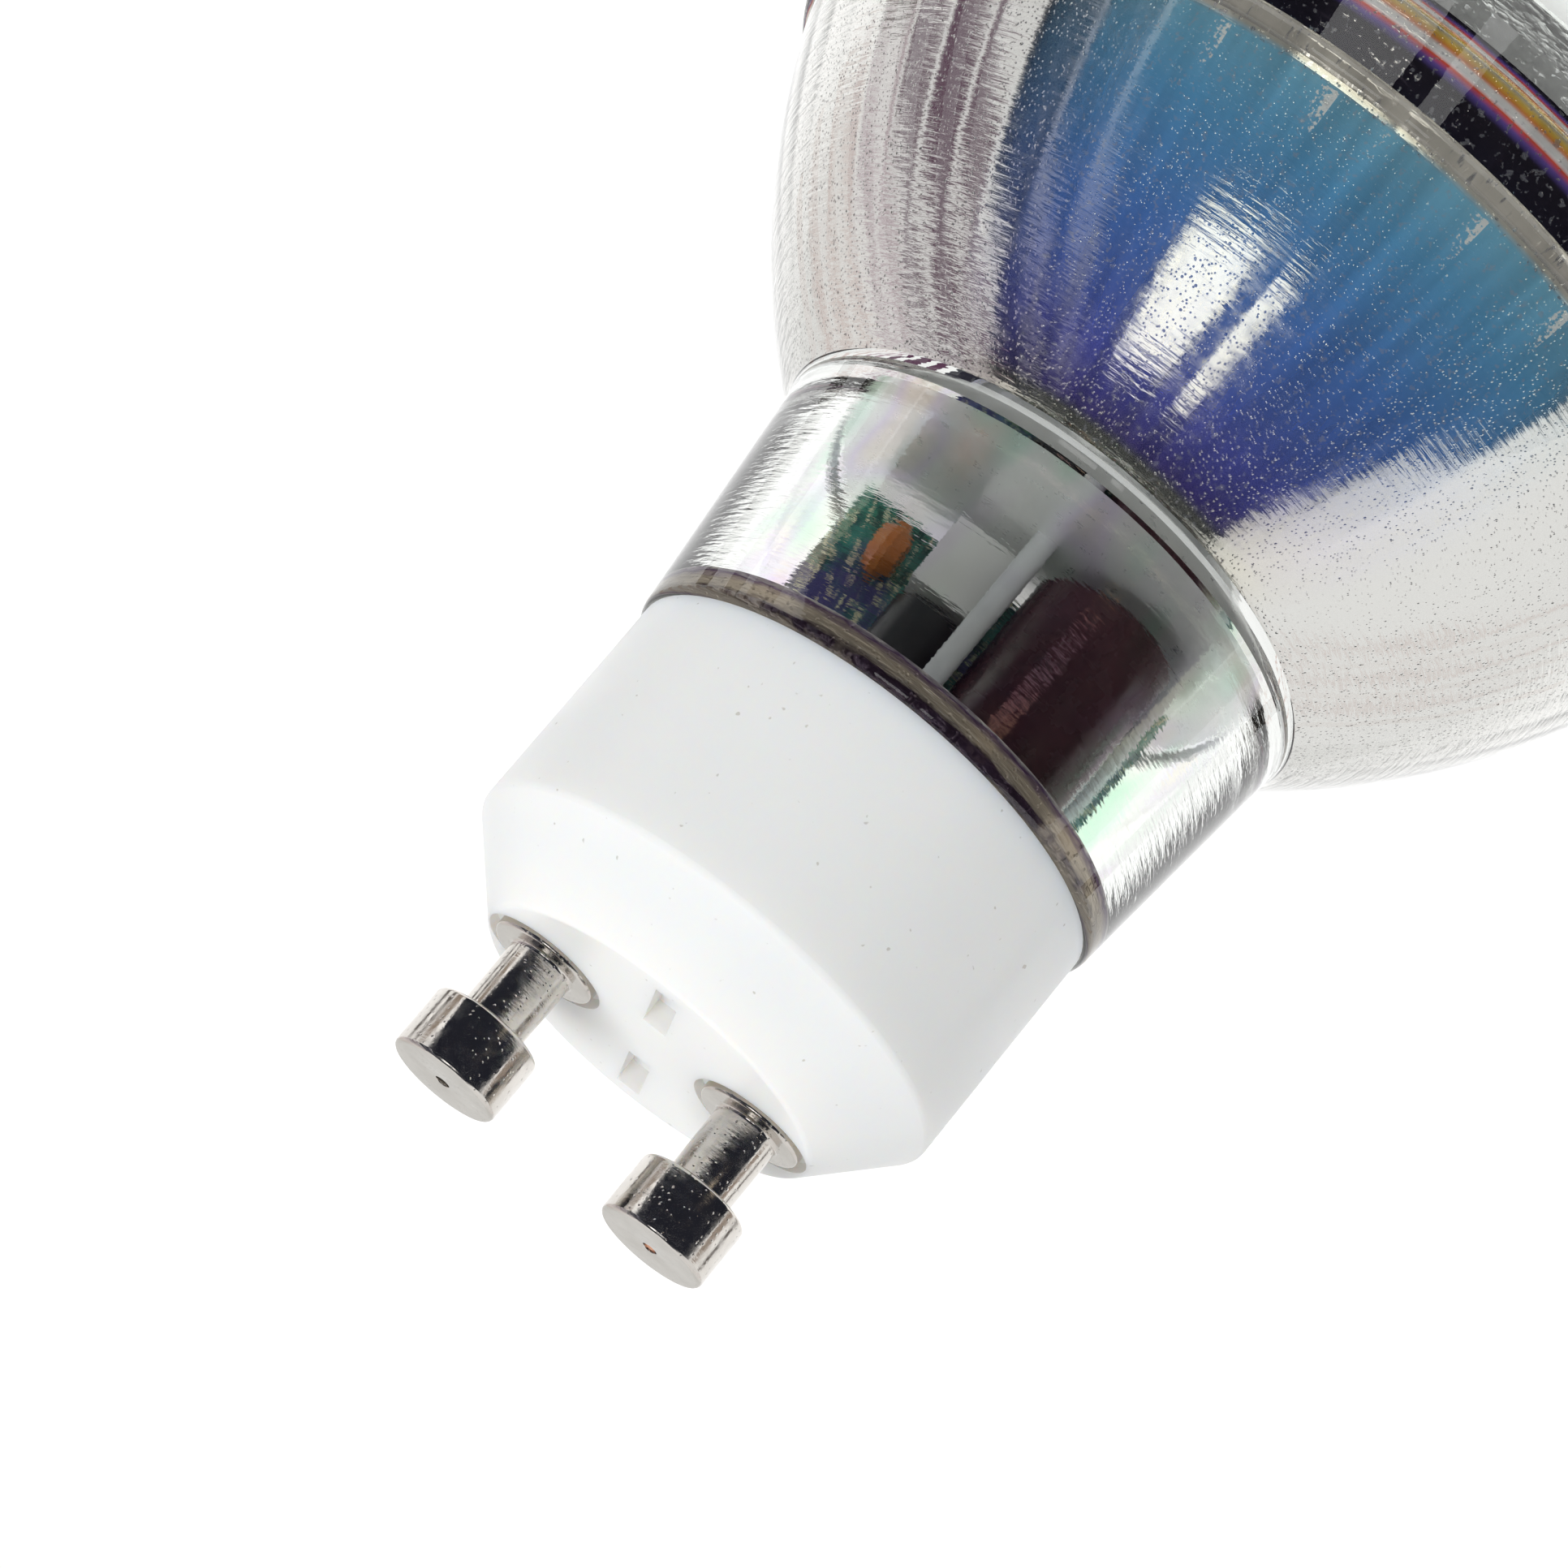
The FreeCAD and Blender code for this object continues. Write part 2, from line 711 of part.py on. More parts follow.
def ceramic_capacitor():
    """A dipped disc capacitor that stands on edge in front of the board."""
    body = new_body("ceramic_capacitor")
    radius = size["ceramic_diameter"] / 2
    half = size["ceramic_thickness"] / 2
    corners = [(0.0, -half), (radius, -half), (radius, half), (0.0, half)]
    turned = revolve(body, "disc", corners)
    bevel_rings(body, turned, "disc_edge", size["ceramic_bevel"], [(radius, -half), (radius, half)])
    body.Placement = Placement(Vector(), Rotation(Vector(0, 1, 0), 90))
    stand_on_board(body, size["ceramic_place"], radius, seat_level + size["ceramic_height"])
    return keep(body)


def box_part(name, sizes, place_x, level, front=True):
    """A square part that sits on the front or the back of the driver board."""
    width, depth, length = sizes
    body = new_body(name)
    sketch = new_sketch(body, "XY_Plane", "footprint")
    draw_box(sketch, (0.0, depth / 2), width, depth)
    extrude(body, "Pad", sketch, "block", length)
    back = board_front - depth if front else board_back
    place(body, x=place_x, y=back, z=seat_level + level)
    return keep(body)


def fuse_resistor():
    """An axial resistor across the front of the board, with its two leads bent into the board."""
    body = new_body("fuse_resistor")
    radius = size["fuse_diameter"] / 2
    half = size["fuse_length"] / 2
    waist = size["fuse_waist_diameter"] / 2
    bell = half - size["fuse_bell_length"]
    corners = [
        (0.0, -half),
        (radius, -half),
        (radius, -bell),
        (waist, size["fuse_bell_slope"] - bell),
        (waist, bell - size["fuse_bell_slope"]),
        (radius, bell),
        (radius, half),
        (0.0, half),
    ]
    turned = revolve(body, "barrel", corners)
    bevel_rings(body, turned, "barrel_edge", size["part_bevel"], [(radius, -half), (radius, half)])
    route = new_sketch(body, "XZ_Plane", "lead_route")
    end = half + size["fuse_lead_reach"]
    bend = size["lead_bend"]
    drop = radius + size["part_gap"] + size["board_thickness"] + size["lead_tail"]
    points = [
        (drop, -end),
        (bend, -end, -bend),
        (0.0, -end + bend),
        (0.0, end - bend, -bend),
        (bend, end),
        (drop, end),
    ]
    draw(route, points, closed=False)
    section = new_sketch(body, "YZ_Plane", "lead_section", drop)
    draw_circle(section, (0.0, -end), size["lead_diameter"] / 2)
    pipe = body.newObject("PartDesign::AdditivePipe", "leads")
    pipe.Profile = section
    pipe.Spine = (route, ["Edge1", "Edge2", "Edge3", "Edge4", "Edge5"])
    doc.recompute()
    lying = Rotation(Vector(0, 1, 0), 90).multiply(Rotation(Vector(0, 0, 1), 90))
    body.Placement = Placement(Vector(), lying)
    stand_on_board(body, size["fuse_place"], radius, seat_level + size["fuse_height"])
    return keep(body)


def led_board():
    """The metal-core disc that sits against the seat in the throat."""
    disc = doc.addObject("Part::Cylinder", "led_board")
    disc.Radius = float(size["led_board_diameter"]) / 2
    disc.Height = float(size["led_board_thickness"])
    disc.setExpression("Radius", formula(size["led_board_diameter"] / 2))
    disc.setExpression("Height", formula(size["led_board_thickness"]))
    place(disc, z=led_level)
    return keep(disc)


def led_emitter(number, distance, turn):
    """One emitter on the front of the LED board, turned to face along its radius."""
    body = new_body("led_emitter_" + str(number))
    sketch = new_sketch(body, "XY_Plane", "footprint")
    draw_box(sketch, (distance, 0.0), size["emitter_width"], size["emitter_length"])
    extrude(body, "Pad", sketch, "block", size["emitter_thickness"])
    body.Placement = Placement(Vector(), Rotation(Vector(0, 0, 1), turn))
    place(body, z=led_level - size["emitter_thickness"])
    return keep(body)


def led_emitters():
    """One emitter in the middle and the rest in a ring."""
    led_emitter(1, 0.0, 0)
    count = int(size["emitter_ring_count"])
    for number in range(count):
        led_emitter(number + 2, size["emitter_ring_diameter"] / 2, 360 / count * number)


def small_parts():
    """The square parts on both faces of the driver board."""
    film = (size["film_width"], size["film_depth"], size["film_length"])
    bridge = (size["bridge_width"], size["bridge_thickness"], size["bridge_length"])
    chip = (size["chip_width"], size["chip_thickness"], size["chip_length"])
    resistor = (size["resistor_width"], size["resistor_thickness"], size["resistor_length"])
    box_part("film_capacitor", film, size["film_place"], size["film_height"])
    box_part("bridge_rectifier", bridge, size["bridge_place"], size["bridge_height"], front=False)
    box_part("driver_chip", chip, size["chip_place"], size["chip_height"], front=False)
    for number in range(int(size["resistor_count"])):
        level = size["resistor_height"] + size["resistor_pitch"] * number
        box_part("chip_resistor_" + str(number + 1), resistor, size["resistor_place"], level, front=False)


def build():
    glass_reflector()
    front_cover()
    base_cap()
    contact_pin("contact_pin_left", -1)
    contact_pin("contact_pin_right", 1)
    lead_wire("lead_wire_live", -1, size["live_tip_depth"])
    lead_wire("lead_wire_neutral", 1, size["neutral_tip_depth"])
    driver_board()
    near, far = sleeve_spots()
    sleeve_wire("led_wire_positive", *near)
    sleeve_wire("led_wire_negative", *far)
    smoothing_capacitor()
    choke()
    ceramic_capacitor()
    fuse_resistor()
    small_parts()
    led_board()
    led_emitters()
    doc.recompute()


def check():
    """Stop if any object failed or any piece has no sound shape."""
    for item in doc.Objects:
        if "Invalid" in item.State or "Error" in item.State:
            raise RuntimeError(item.Name + " failed to build")
    for piece in pieces:
        if piece.Shape.isNull() or not piece.Shape.isValid():
            raise RuntimeError(piece.Label + " has no sound shape")


def write():
    os.makedirs("parts", exist_ok=True)
    for piece in pieces:
        piece.Shape.exportStep(os.path.join("parts", piece.Label + ".step"))
        print(piece.Label, len(piece.Shape.Solids), round(piece.Shape.Volume, 3))


build()
check()
write()
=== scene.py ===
import math

import bmesh
import bpy
from mathutils import Matrix, Vector


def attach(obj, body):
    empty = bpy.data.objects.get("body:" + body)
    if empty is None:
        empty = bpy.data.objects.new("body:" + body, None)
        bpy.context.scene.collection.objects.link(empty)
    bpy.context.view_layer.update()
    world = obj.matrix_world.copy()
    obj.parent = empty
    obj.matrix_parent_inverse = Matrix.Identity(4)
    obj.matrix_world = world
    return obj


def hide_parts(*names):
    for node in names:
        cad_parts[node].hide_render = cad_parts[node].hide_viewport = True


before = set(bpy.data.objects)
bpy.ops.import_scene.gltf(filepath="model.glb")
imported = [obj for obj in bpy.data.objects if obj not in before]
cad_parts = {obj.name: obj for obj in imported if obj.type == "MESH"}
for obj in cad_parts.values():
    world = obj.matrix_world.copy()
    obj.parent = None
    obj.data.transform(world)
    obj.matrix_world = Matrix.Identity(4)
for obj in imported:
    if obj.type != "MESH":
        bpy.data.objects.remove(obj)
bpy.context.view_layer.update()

BODY = "root"
MM = 0.001
MICRON = 0.000001

# Levels of the glass along the lamp's axis, in millimetres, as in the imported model.
RIM_TOP = 4.0
LEDGE = 4.4
SHOULDER = 4.95
BEAD = 7.45
KINK = 7.85
BOWL = 8.3
THROAT = 20.8
SEAT = 22.0
CORNER = 22.2
# The lip's painted reflections begin at the next level.
LIP_PAINT_LOW = 31.85
LIP = 33.6

# Its radii. The rim stays 0.01 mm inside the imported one, so that the dressed lamp keeps within its box.
RIM_RADIUS = 24.99
SHOULDER_RADIUS = 24.0
BEAD_RADIUS = 22.25
BOWL_RADIUS = 21.9
CORNER_RADIUS = 12.15
NECK_RADIUS = 10.95
RECESS_RADIUS = 23.8
LEDGE_RADIUS = 22.6
THROAT_RADIUS = 10.9
SEAT_RADIUS = 10.1
NECK_BORE = 9.7

# Its arcs, wall, small rounds and flutes.
BOWL_ARC = 33.0
BEAD_ARC = 0.5
BOWL_WALL = 1.6
RIM_ROUND = 0.5
CORNER_ROUND = 0.9
LIP_ROUND = 0.45
FLUTES = 54
FLUTE_DEPTH = 0.02

# How finely its mesh is divided.
FLUTE_STEPS = 8
BEAD_STEPS = 8
BOWL_STEPS = 26
INSIDE_STEPS = 24
NECK_STEPS = 6
BAND_STEPS = 6
ROUND_STEPS = 6

# The places of the finishes in the glass's list of materials.
CLEAR = 0
COAT = 1
# The lip's material is painted reflection.
LIP_PAINTED = 2
FILMED = 3

# Bends in degrees over which an edge stays crisp, between coated faces and between others.
COAT_CREASE = 5.0
CREASE = 28.0


# Camera

CAMERA_PLACE = Vector((-0.01452, -0.19407, 0.10078))
CAMERA_AZIMUTH = math.radians(-94.969)
CAMERA_ELEVATION = math.radians(18.578)
CAMERA_ROLL = math.radians(-139.991)
CAMERA_LENS = 122.24


def direction(azimuth, elevation):
    """The way towards an azimuth and an elevation, both in radians."""
    level = math.cos(elevation)
    return Vector((level * math.cos(azimuth), level * math.sin(azimuth), math.sin(elevation)))


def camera_axes():
    """The camera's right, up and back directions. It looks from its azimuth and is rolled about its sight."""
    back = direction(CAMERA_AZIMUTH, CAMERA_ELEVATION)
    level = direction(CAMERA_AZIMUTH + math.pi / 2, 0.0)
    upright = back.cross(level)
    right = level * math.cos(CAMERA_ROLL) + upright * math.sin(CAMERA_ROLL)
    return right, back.cross(right), back


def add_camera():
    """The camera at the photograph's angle. The lamp hangs with its pins down and to the left."""
    data = bpy.data.cameras.new("camera")
    data.lens = CAMERA_LENS
    data.sensor_width = 36.0
    data.clip_start = 0.01
    camera = bpy.data.objects.new("camera", data)
    bpy.context.scene.collection.objects.link(camera)
    turned = Matrix(camera_axes()).transposed()
    camera.matrix_world = Matrix.Translation(CAMERA_PLACE) @ turned.to_4x4()
    bpy.context.scene.camera = camera


def seen_from_camera(right, up, back):
    """A direction in the lamp's frame, given as the photograph's right, up and towards the viewer."""
    axes = camera_axes()
    return (axes[0] * right + axes[1] * up + axes[2] * back).normalized()


# Materials

class Nodes:
    """A node tree, and short calls that add nodes to it."""

    def __init__(self, tree):
        self.tree = tree

    def add(self, kind, settings=None, inputs=None):
        node = self.tree.nodes.new(kind)
        for name, value in (settings or {}).items():
            setattr(node, name, value)
        for name, value in (inputs or {}).items():
            self.feed(node.inputs[name], value)
        return node

    def feed(self, socket, value):
        """Link another node's socket to this one, or set it to a plain value."""
        if isinstance(value, bpy.types.NodeSocket):
            self.tree.links.new(value, socket)
        else:
            socket.default_value = value

    def math(self, operation, first, second=0.0):
        return self.add("ShaderNodeMath", {"operation": operation}, {0: first, 1: second}).outputs[0]

    def span(self, value, low, high, start=0.0, end=1.0):
        """A value between low and high as one between start and end."""
        inputs = {"Value": value, "From Min": low, "From Max": high, "To Min": start, "To Max": end}
        return self.add("ShaderNodeMapRange", inputs=inputs).outputs[0]

    def seen_outright(self):
        """1 for what the camera, gloss or glass sees, and 0 for light that is scattered."""
        path = self.add("ShaderNodeLightPath").outputs
        seen = self.math("MAXIMUM", path["Is Camera Ray"], path["Is Glossy Ray"])
        return self.math("MAXIMUM", seen, path["Is Transmission Ray"])


class Finish(Nodes):
    """A material with one Principled shader."""

    def __init__(self, name, values=None):
        self.material = bpy.data.materials.new(name)
        self.material.use_nodes = True
        super().__init__(self.material.node_tree)
        self.shader = self.tree.nodes["Principled BSDF"]
        self.output = self.tree.nodes["Material Output"]
        for socket, value in (values or {}).items():
            self.shader.inputs[socket].default_value = value
        self.place = self.add("ShaderNodeTexCoord").outputs["Object"]

    def axis(self, name):
        return self.add("ShaderNodeSeparateXYZ", inputs={0: self.place}).outputs[name]

    def stretch(self, x, y, z):
        """The object's own coordinates, scaled along each axis."""
        return self.add("ShaderNodeMapping", inputs={"Vector": self.place, "Scale": (x, y, z)}).outputs[0]

    def flat(self, across, along, stretch):
        """A place from one value across and another, multiplied, along."""
        along = self.math("MULTIPLY", along, stretch)
        return self.add("ShaderNodeCombineXYZ", inputs={0: across, 1: along}).outputs[0]

    def noise(self, scale, detail=2.0, place=None):
        inputs = {"Vector": place or self.place, "Scale": scale, "Detail": detail}
        return self.add("ShaderNodeTexNoise", inputs=inputs).outputs["Fac"]

    def grains(self, scale, reach, share):
        """Scattered round specks, 1 at their middles and 0 between them, in a share of the cells."""
        cells = self.add("ShaderNodeTexVoronoi", inputs={"Vector": self.place, "Scale": scale}).outputs
        spot = self.span(cells["Distance"], 0.0, reach, 1.0, 0.0)
        pick = self.add("ShaderNodeSeparateColor", inputs={0: cells["Color"]}).outputs[0]
        return self.math("MULTIPLY", spot, self.math("LESS_THAN", pick, share))

    def ramp(self, value, stops):
        """A colour for each value from 0 to 1."""
        node = self.add("ShaderNodeValToRGB", inputs={"Fac": value})
        marks = node.color_ramp.elements
        while len(marks) < len(stops):
            marks.new(0.5)
        for mark, (position, color) in zip(marks, stops):
            mark.position = position
        # The colours come after, because marks change places in the list while they are moved.
        for mark, (position, color) in zip(marks, stops):
            mark.color = (*color, 1.0)
        return node.outputs["Color"]

    def bands(self, stops):
        """Colours up the lamp's axis, each with its height in millimetres."""
        low, high = stops[0][0], stops[-1][0]
        level = self.span(self.axis("Z"), low * MM, high * MM)
        return self.ramp(level, [((height - low) / (high - low), color) for height, color in stops])

    def mix(self, amount, first, second, blend="MIX"):
        node = self.add("ShaderNodeMix", {"data_type": "RGBA", "blend_type": blend}, {0: amount})
        for socket, color in ((6, first), (7, second)):
            plain = not isinstance(color, bpy.types.NodeSocket)
            self.feed(node.inputs[socket], (*color, 1.0) if plain else color)
        return node.outputs[2]

    def color(self, socket):
        self.feed(self.shader.inputs["Base Color"], socket)

    def rough(self, value, low, high):
        """Roughness from low to high as a noise goes from 0.3 to 0.7."""
        self.feed(self.shader.inputs["Roughness"], self.span(value, 0.3, 0.7, low, high))

    def bump(self, height, microns):
        """Raise the surface by a height from 0 to 1 times a distance, on top of the bumps it has."""
        node = self.add("ShaderNodeBump", inputs={"Height": height, "Distance": microns * MICRON})
        normal = self.shader.inputs["Normal"]
        if normal.is_linked:
            self.feed(node.inputs["Normal"], normal.links[0].from_socket)
        self.feed(normal, node.outputs["Normal"])

    def show(self, node):
        """Put a shader node on the surface in the place of the Principled one."""
        self.feed(self.output.inputs["Surface"], node.outputs[0])

    def cover(self, amount, other):
        """Another shader takes the Principled one's place by an amount."""
        inputs = {0: amount, 1: self.shader.outputs[0], 2: other.outputs[0]}
        self.show(self.add("ShaderNodeMixShader", inputs=inputs))

    def gloss_over(self, amount, color, roughness):
        """Plain gloss with the same bumps takes the shader's place by an amount."""
        self.cover(amount, self.add("ShaderNodeBsdfAnisotropic", inputs={
            "Color": (*color, 1.0),
            "Roughness": roughness,
            "Normal": self.shader.inputs["Normal"].links[0].from_socket,
        }))

    def let_light_through(self):
        """Lamp light passes straight through this glass, where plain glass would cast a dark shadow."""
        shadow = self.add("ShaderNodeLightPath").outputs["Is Shadow Ray"]
        self.cover(shadow, self.add("ShaderNodeBsdfTransparent", inputs={"Color": (0.94, 0.96, 0.96, 1.0)}))


GLASS_IOR = 1.5

# The mould's rings inside the glass: noise cells to the metre along the lamp's axis.
RING_CELLS = 5200.0


def facet_number(finish):
    """Which flute a point lies in, counted round the lamp, plus its share of the way across it."""
    turn = finish.math("ARCTAN2", finish.axis("Y"), finish.axis("X"))
    return finish.math("MULTIPLY", turn, FLUTES / (2 * math.pi))


def ripple(finish, facet, microns):
    """Raise the fine rings that the mould leaves inside the glass, broken up along their length."""
    rings = finish.noise(1.0, 3.0, finish.flat(facet, finish.axis("Z"), RING_CELLS))
    finish.bump(rings, microns)
    return rings


def clear_glass():
    """Pressed clear glass, faintly green and a little wavy."""
    finish = Finish("clear_glass", {
        "Base Color": (0.93, 0.945, 0.92, 1.0),
        "Roughness": 0.01,
        "Transmission Weight": 1.0,
        "IOR": GLASS_IOR,
    })
    finish.bump(finish.noise(300.0, 1.0), 12.0)
    finish.bump(finish.noise(1.0, 2.0, finish.stretch(300.0, 300.0, 2400.0)), 6.0)
    finish.let_light_through()
    return finish.material


def neck_film():
    """The bore of the neck: clear glass with a stray film from the coating, faintly coloured in clouds that
    paint the film's iridescent sheen.
    """
    finish = Finish("neck_film", {
        "Roughness": 0.015,
        "Transmission Weight": 1.0,
        "IOR": GLASS_IOR,
        "Thin Film IOR": 1.62,
    })
    ripple(finish, facet_number(finish), 10.0)
    wash = finish.noise(1.0, 2.0, finish.stretch(140.0, 140.0, 70.0))
    nanometres = finish.span(wash, 0.3, 0.7, 300.0, 520.0)
    finish.feed(finish.shader.inputs["Thin Film Thickness"], nanometres)
    # Painted iridescent sheen: faint green, violet and peach tints in clouds.
    sheen_clouds = finish.noise(1.0, 1.0, finish.stretch(330.0, 330.0, 200.0))
    finish.color(finish.ramp(finish.span(sheen_clouds, 0.3, 0.7), [
        (0.0, (0.62, 0.92, 0.72)),
        (0.3, (0.93, 0.94, 0.9)),
        (0.55, (0.92, 0.92, 0.92)),
        (0.75, (0.84, 0.7, 0.92)),
        (1.0, (0.95, 0.8, 0.68)),
    ]))
    finish.let_light_through()
    return finish.material


def lip_painted_reflections():
    """The rolled lip where it grips the cap, painted with the reflections that the thick glass throws back
    inside it: a brown ring between dark purple ones, which wander a little.
    """
    finish = Finish("lip_painted_reflections", {"Metallic": 0.35, "Roughness": 0.16})
    rings = ripple(finish, facet_number(finish), 30.0)
    wander = finish.math("MULTIPLY", rings, 0.28)
    level = finish.span(finish.axis("Z"), LIP_PAINT_LOW * MM, LIP * MM, -0.1, 0.86)
    # Painted reflections up the lip: a pale painted glint at its low edge, the brown and dark purple rings,
    # and green and purple towards the cap.
    finish.color(finish.ramp(finish.math("ADD", level, wander), [
        (0.0, (0.62, 0.6, 0.55)),
        (0.12, (0.1, 0.05, 0.12)),
        (0.28, (0.5, 0.42, 0.32)),
        (0.46, (0.44, 0.37, 0.29)),
        (0.55, (0.05, 0.025, 0.045)),
        (0.75, (0.07, 0.04, 0.1)),
        (0.88, (0.06, 0.14, 0.08)),
        (1.0, (0.2, 0.1, 0.3)),
    ]))
    finish.bump(finish.grains(4200.0, 0.35, 0.6), 20.0)
    return finish.material


# The coat's body colours up the lamp's axis: a painted rainbow of coloured lines with a painted white
# highlight line at the foot of the shoulder band, near black on the band, grey on the bead, then pale blue to
# violet up the bowl and grey at the throat.
COAT_COLORS_AND_RAINBOW = [
    (4.4, (0.5, 0.47, 0.36)),
    # A painted rainbow: orange and red lines, a painted white highlight line, then red and violet.
    (4.55, (0.75, 0.5, 0.05)),
    (4.75, (0.75, 0.2, 0.04)),
    (4.85, (0.82, 0.8, 0.78)),
    (5.05, (0.8, 0.78, 0.78)),
    (5.15, (0.55, 0.07, 0.03)),
    (5.35, (0.09, 0.06, 0.24)),
    (5.6, (0.012, 0.01, 0.014)),
    (6.95, (0.01, 0.009, 0.016)),
    (7.15, (0.45, 0.42, 0.37)),
    (7.7, (0.5, 0.48, 0.42)),
    (7.95, (0.26, 0.66, 0.92)),
    (10.5, (0.15, 0.5, 0.9)),
    (14.5, (0.1, 0.28, 0.82)),
    (18.5, (0.1, 0.12, 0.58)),
    (20.1, (0.06, 0.04, 0.25)),
    (20.4, (0.1, 0.1, 0.085)),
]

# The tints of its reflections, strong in the bowl and faint on the near black of the shoulder band.
COAT_TINTS = [
    (5.0, (0.6, 0.55, 0.45)),
    (5.2, (0.02, 0.016, 0.02)),
    (6.95, (0.012, 0.01, 0.014)),
    (7.2, (0.33, 0.31, 0.27)),
    (7.9, (0.64, 0.6, 0.45)),
    (20.0, (0.64, 0.61, 0.47)),
    (20.4, (0.58, 0.58, 0.53)),
]

# Heights between which the shoulder band's finish turns into the bowl's, and the top of the painted glints at
# the flutes' edges.
BOWL_FOOT = 7.9
BOWL_FULL = 8.0
GLINT_TOP = 11.0


def painted_edge_glints(finish, facet, in_bowl):
    """Painted glints: pale marks at one edge of some flutes, close above the bead."""
    edge = finish.span(finish.math("FRACT", facet), 0.0, 0.5, 0.7, 0.0)
    foot = finish.span(finish.axis("Z"), BOWL * MM, GLINT_TOP * MM, 1.0, 0.0)
    flute = finish.math("FLOOR", facet)
    chance = finish.add("ShaderNodeTexWhiteNoise", {"noise_dimensions": "1D"}, {"W": flute}).outputs["Value"]
    reach = finish.math("MULTIPLY", finish.math("MULTIPLY", in_bowl, foot), chance)
    edge_glint = finish.math("ADD", finish.math("MULTIPLY", edge, reach), finish.noise(7000.0))
    return finish.span(edge_glint, 0.82, 0.95)


def mirror_coat():
    """The mirror coat on the flutes. In the bowl, plain gloss takes its place where it is seen at a slant."""
    finish = Finish("mirror_coat", {"IOR": 12.0})
    facet = facet_number(finish)
    height = finish.axis("Z")
    in_bowl = finish.span(height, BOWL_FOOT * MM, BOWL_FULL * MM)
    on_band = finish.math("SUBTRACT", 1.0, in_bowl)
    # Small specks: painted sparkle in the body colour, and brighter gloss on the shoulder band.
    sparks = finish.span(finish.noise(4200.0), 0.6, 0.68)

    streaks = finish.noise(1.0, 2.0, finish.flat(finish.math("MULTIPLY", facet, 2.2), height, 90.0))
    shade = finish.span(streaks, 0.3, 0.7, 0.6, 0.94)
    grey = finish.add("ShaderNodeCombineColor", inputs={0: shade, 1: shade, 2: shade}).outputs[0]
    # The bands hold the coat's colours, with a painted rainbow and highlight line at the foot of the shoulder
    # band.
    body = finish.mix(1.0, finish.bands(COAT_COLORS_AND_RAINBOW), grey, "MULTIPLY")
    # Painted glints turn the body pale at one edge of some flutes, close above the bead.
    body = finish.mix(painted_edge_glints(finish, facet, in_bowl), body, (0.9, 0.95, 0.95))
    finish.color(finish.mix(finish.math("MULTIPLY", sparks, 0.35), body, (0.4, 0.4, 0.44)))

    slant = finish.add("ShaderNodeLayerWeight", inputs={"Blend": 0.5}).outputs["Facing"]
    side = finish.math("MULTIPLY", finish.span(slant, 0.05, 0.075), in_bowl)
    tint = finish.mix(side, finish.bands(COAT_TINTS), (1.0, 0.95, 0.86))
    tint = finish.mix(finish.math("MULTIPLY", sparks, on_band), tint, (0.9, 0.86, 0.76))
    finish.feed(finish.shader.inputs["Specular Tint"], tint)

    ripple(finish, facet, 12.0)
    finish.bump(finish.grains(3200.0, 0.2, 0.6), 12.0)
    finish.bump(finish.grains(6500.0, 0.3, 0.7), 8.0)
    finish.rough(finish.noise(1500.0), 0.03, 0.12)
    at_slant = finish.math("MULTIPLY", in_bowl, finish.span(slant, 0.075, 0.11))
    finish.gloss_over(at_slant, (0.77, 0.755, 0.745), 0.08)
    return finish.material


def cover_glass():
    """The front disc: clear glass with a stippled face."""
    finish = Finish("cover_glass", {
        "Base Color": (0.98, 0.99, 0.99, 1.0),
        "Roughness": 0.04,
        "Transmission Weight": 1.0,
        "IOR": GLASS_IOR,
    })
    cells = finish.add("ShaderNodeTexVoronoi", inputs={"Vector": finish.place, "Scale": 1500.0})
    finish.bump(cells.outputs["Distance"], 40.0)
    finish.let_light_through()
    return finish.material


def white_plastic():
    """Smooth moulded plastic with faint flow marks and a few tiny specks."""
    finish = Finish("white_plastic", {
        "Subsurface Weight": 0.6,
        "Subsurface Radius": (0.0026, 0.0019, 0.0013),
        "Subsurface Scale": 1.0,
        "IOR": 1.48,
    })
    body = finish.mix(finish.noise(90.0, 3.0), (0.85, 0.845, 0.83), (0.88, 0.875, 0.86))
    specks = finish.span(finish.noise(2600.0, 1.0), 0.76, 0.8)
    finish.color(finish.mix(specks, body, (0.62, 0.6, 0.56)))
    finish.rough(finish.noise(300.0, 3.0), 0.28, 0.42)
    finish.bump(finish.noise(140.0), 40.0)
    finish.bump(finish.noise(3000.0), 2.5)
    return finish.material


def bright_nickel():
    """Nickel plate with turning lines, fine pits and handling marks."""
    finish = Finish("bright_nickel", {"Metallic": 1.0})
    finish.color(finish.mix(finish.noise(900.0, 4.0), (0.56, 0.53, 0.49), (0.72, 0.69, 0.65)))
    finish.rough(finish.noise(2200.0, 4.0), 0.08, 0.26)
    finish.bump(finish.noise(1.0, 2.0, finish.stretch(500.0, 500.0, 9000.0)), 3.0)
    finish.bump(finish.noise(5200.0, 3.0), 5.0)
    finish.bump(finish.grains(5200.0, 0.3, 0.45), 20.0)
    return finish.material


def bare_copper():
    finish = Finish("bare_copper", {"Metallic": 1.0})
    finish.color(finish.mix(finish.noise(2500.0, 3.0), (0.52, 0.2, 0.1), (0.85, 0.42, 0.25)))
    finish.rough(finish.noise(3500.0), 0.2, 0.4)
    finish.bump(finish.noise(6000.0), 6.0)
    return finish.material


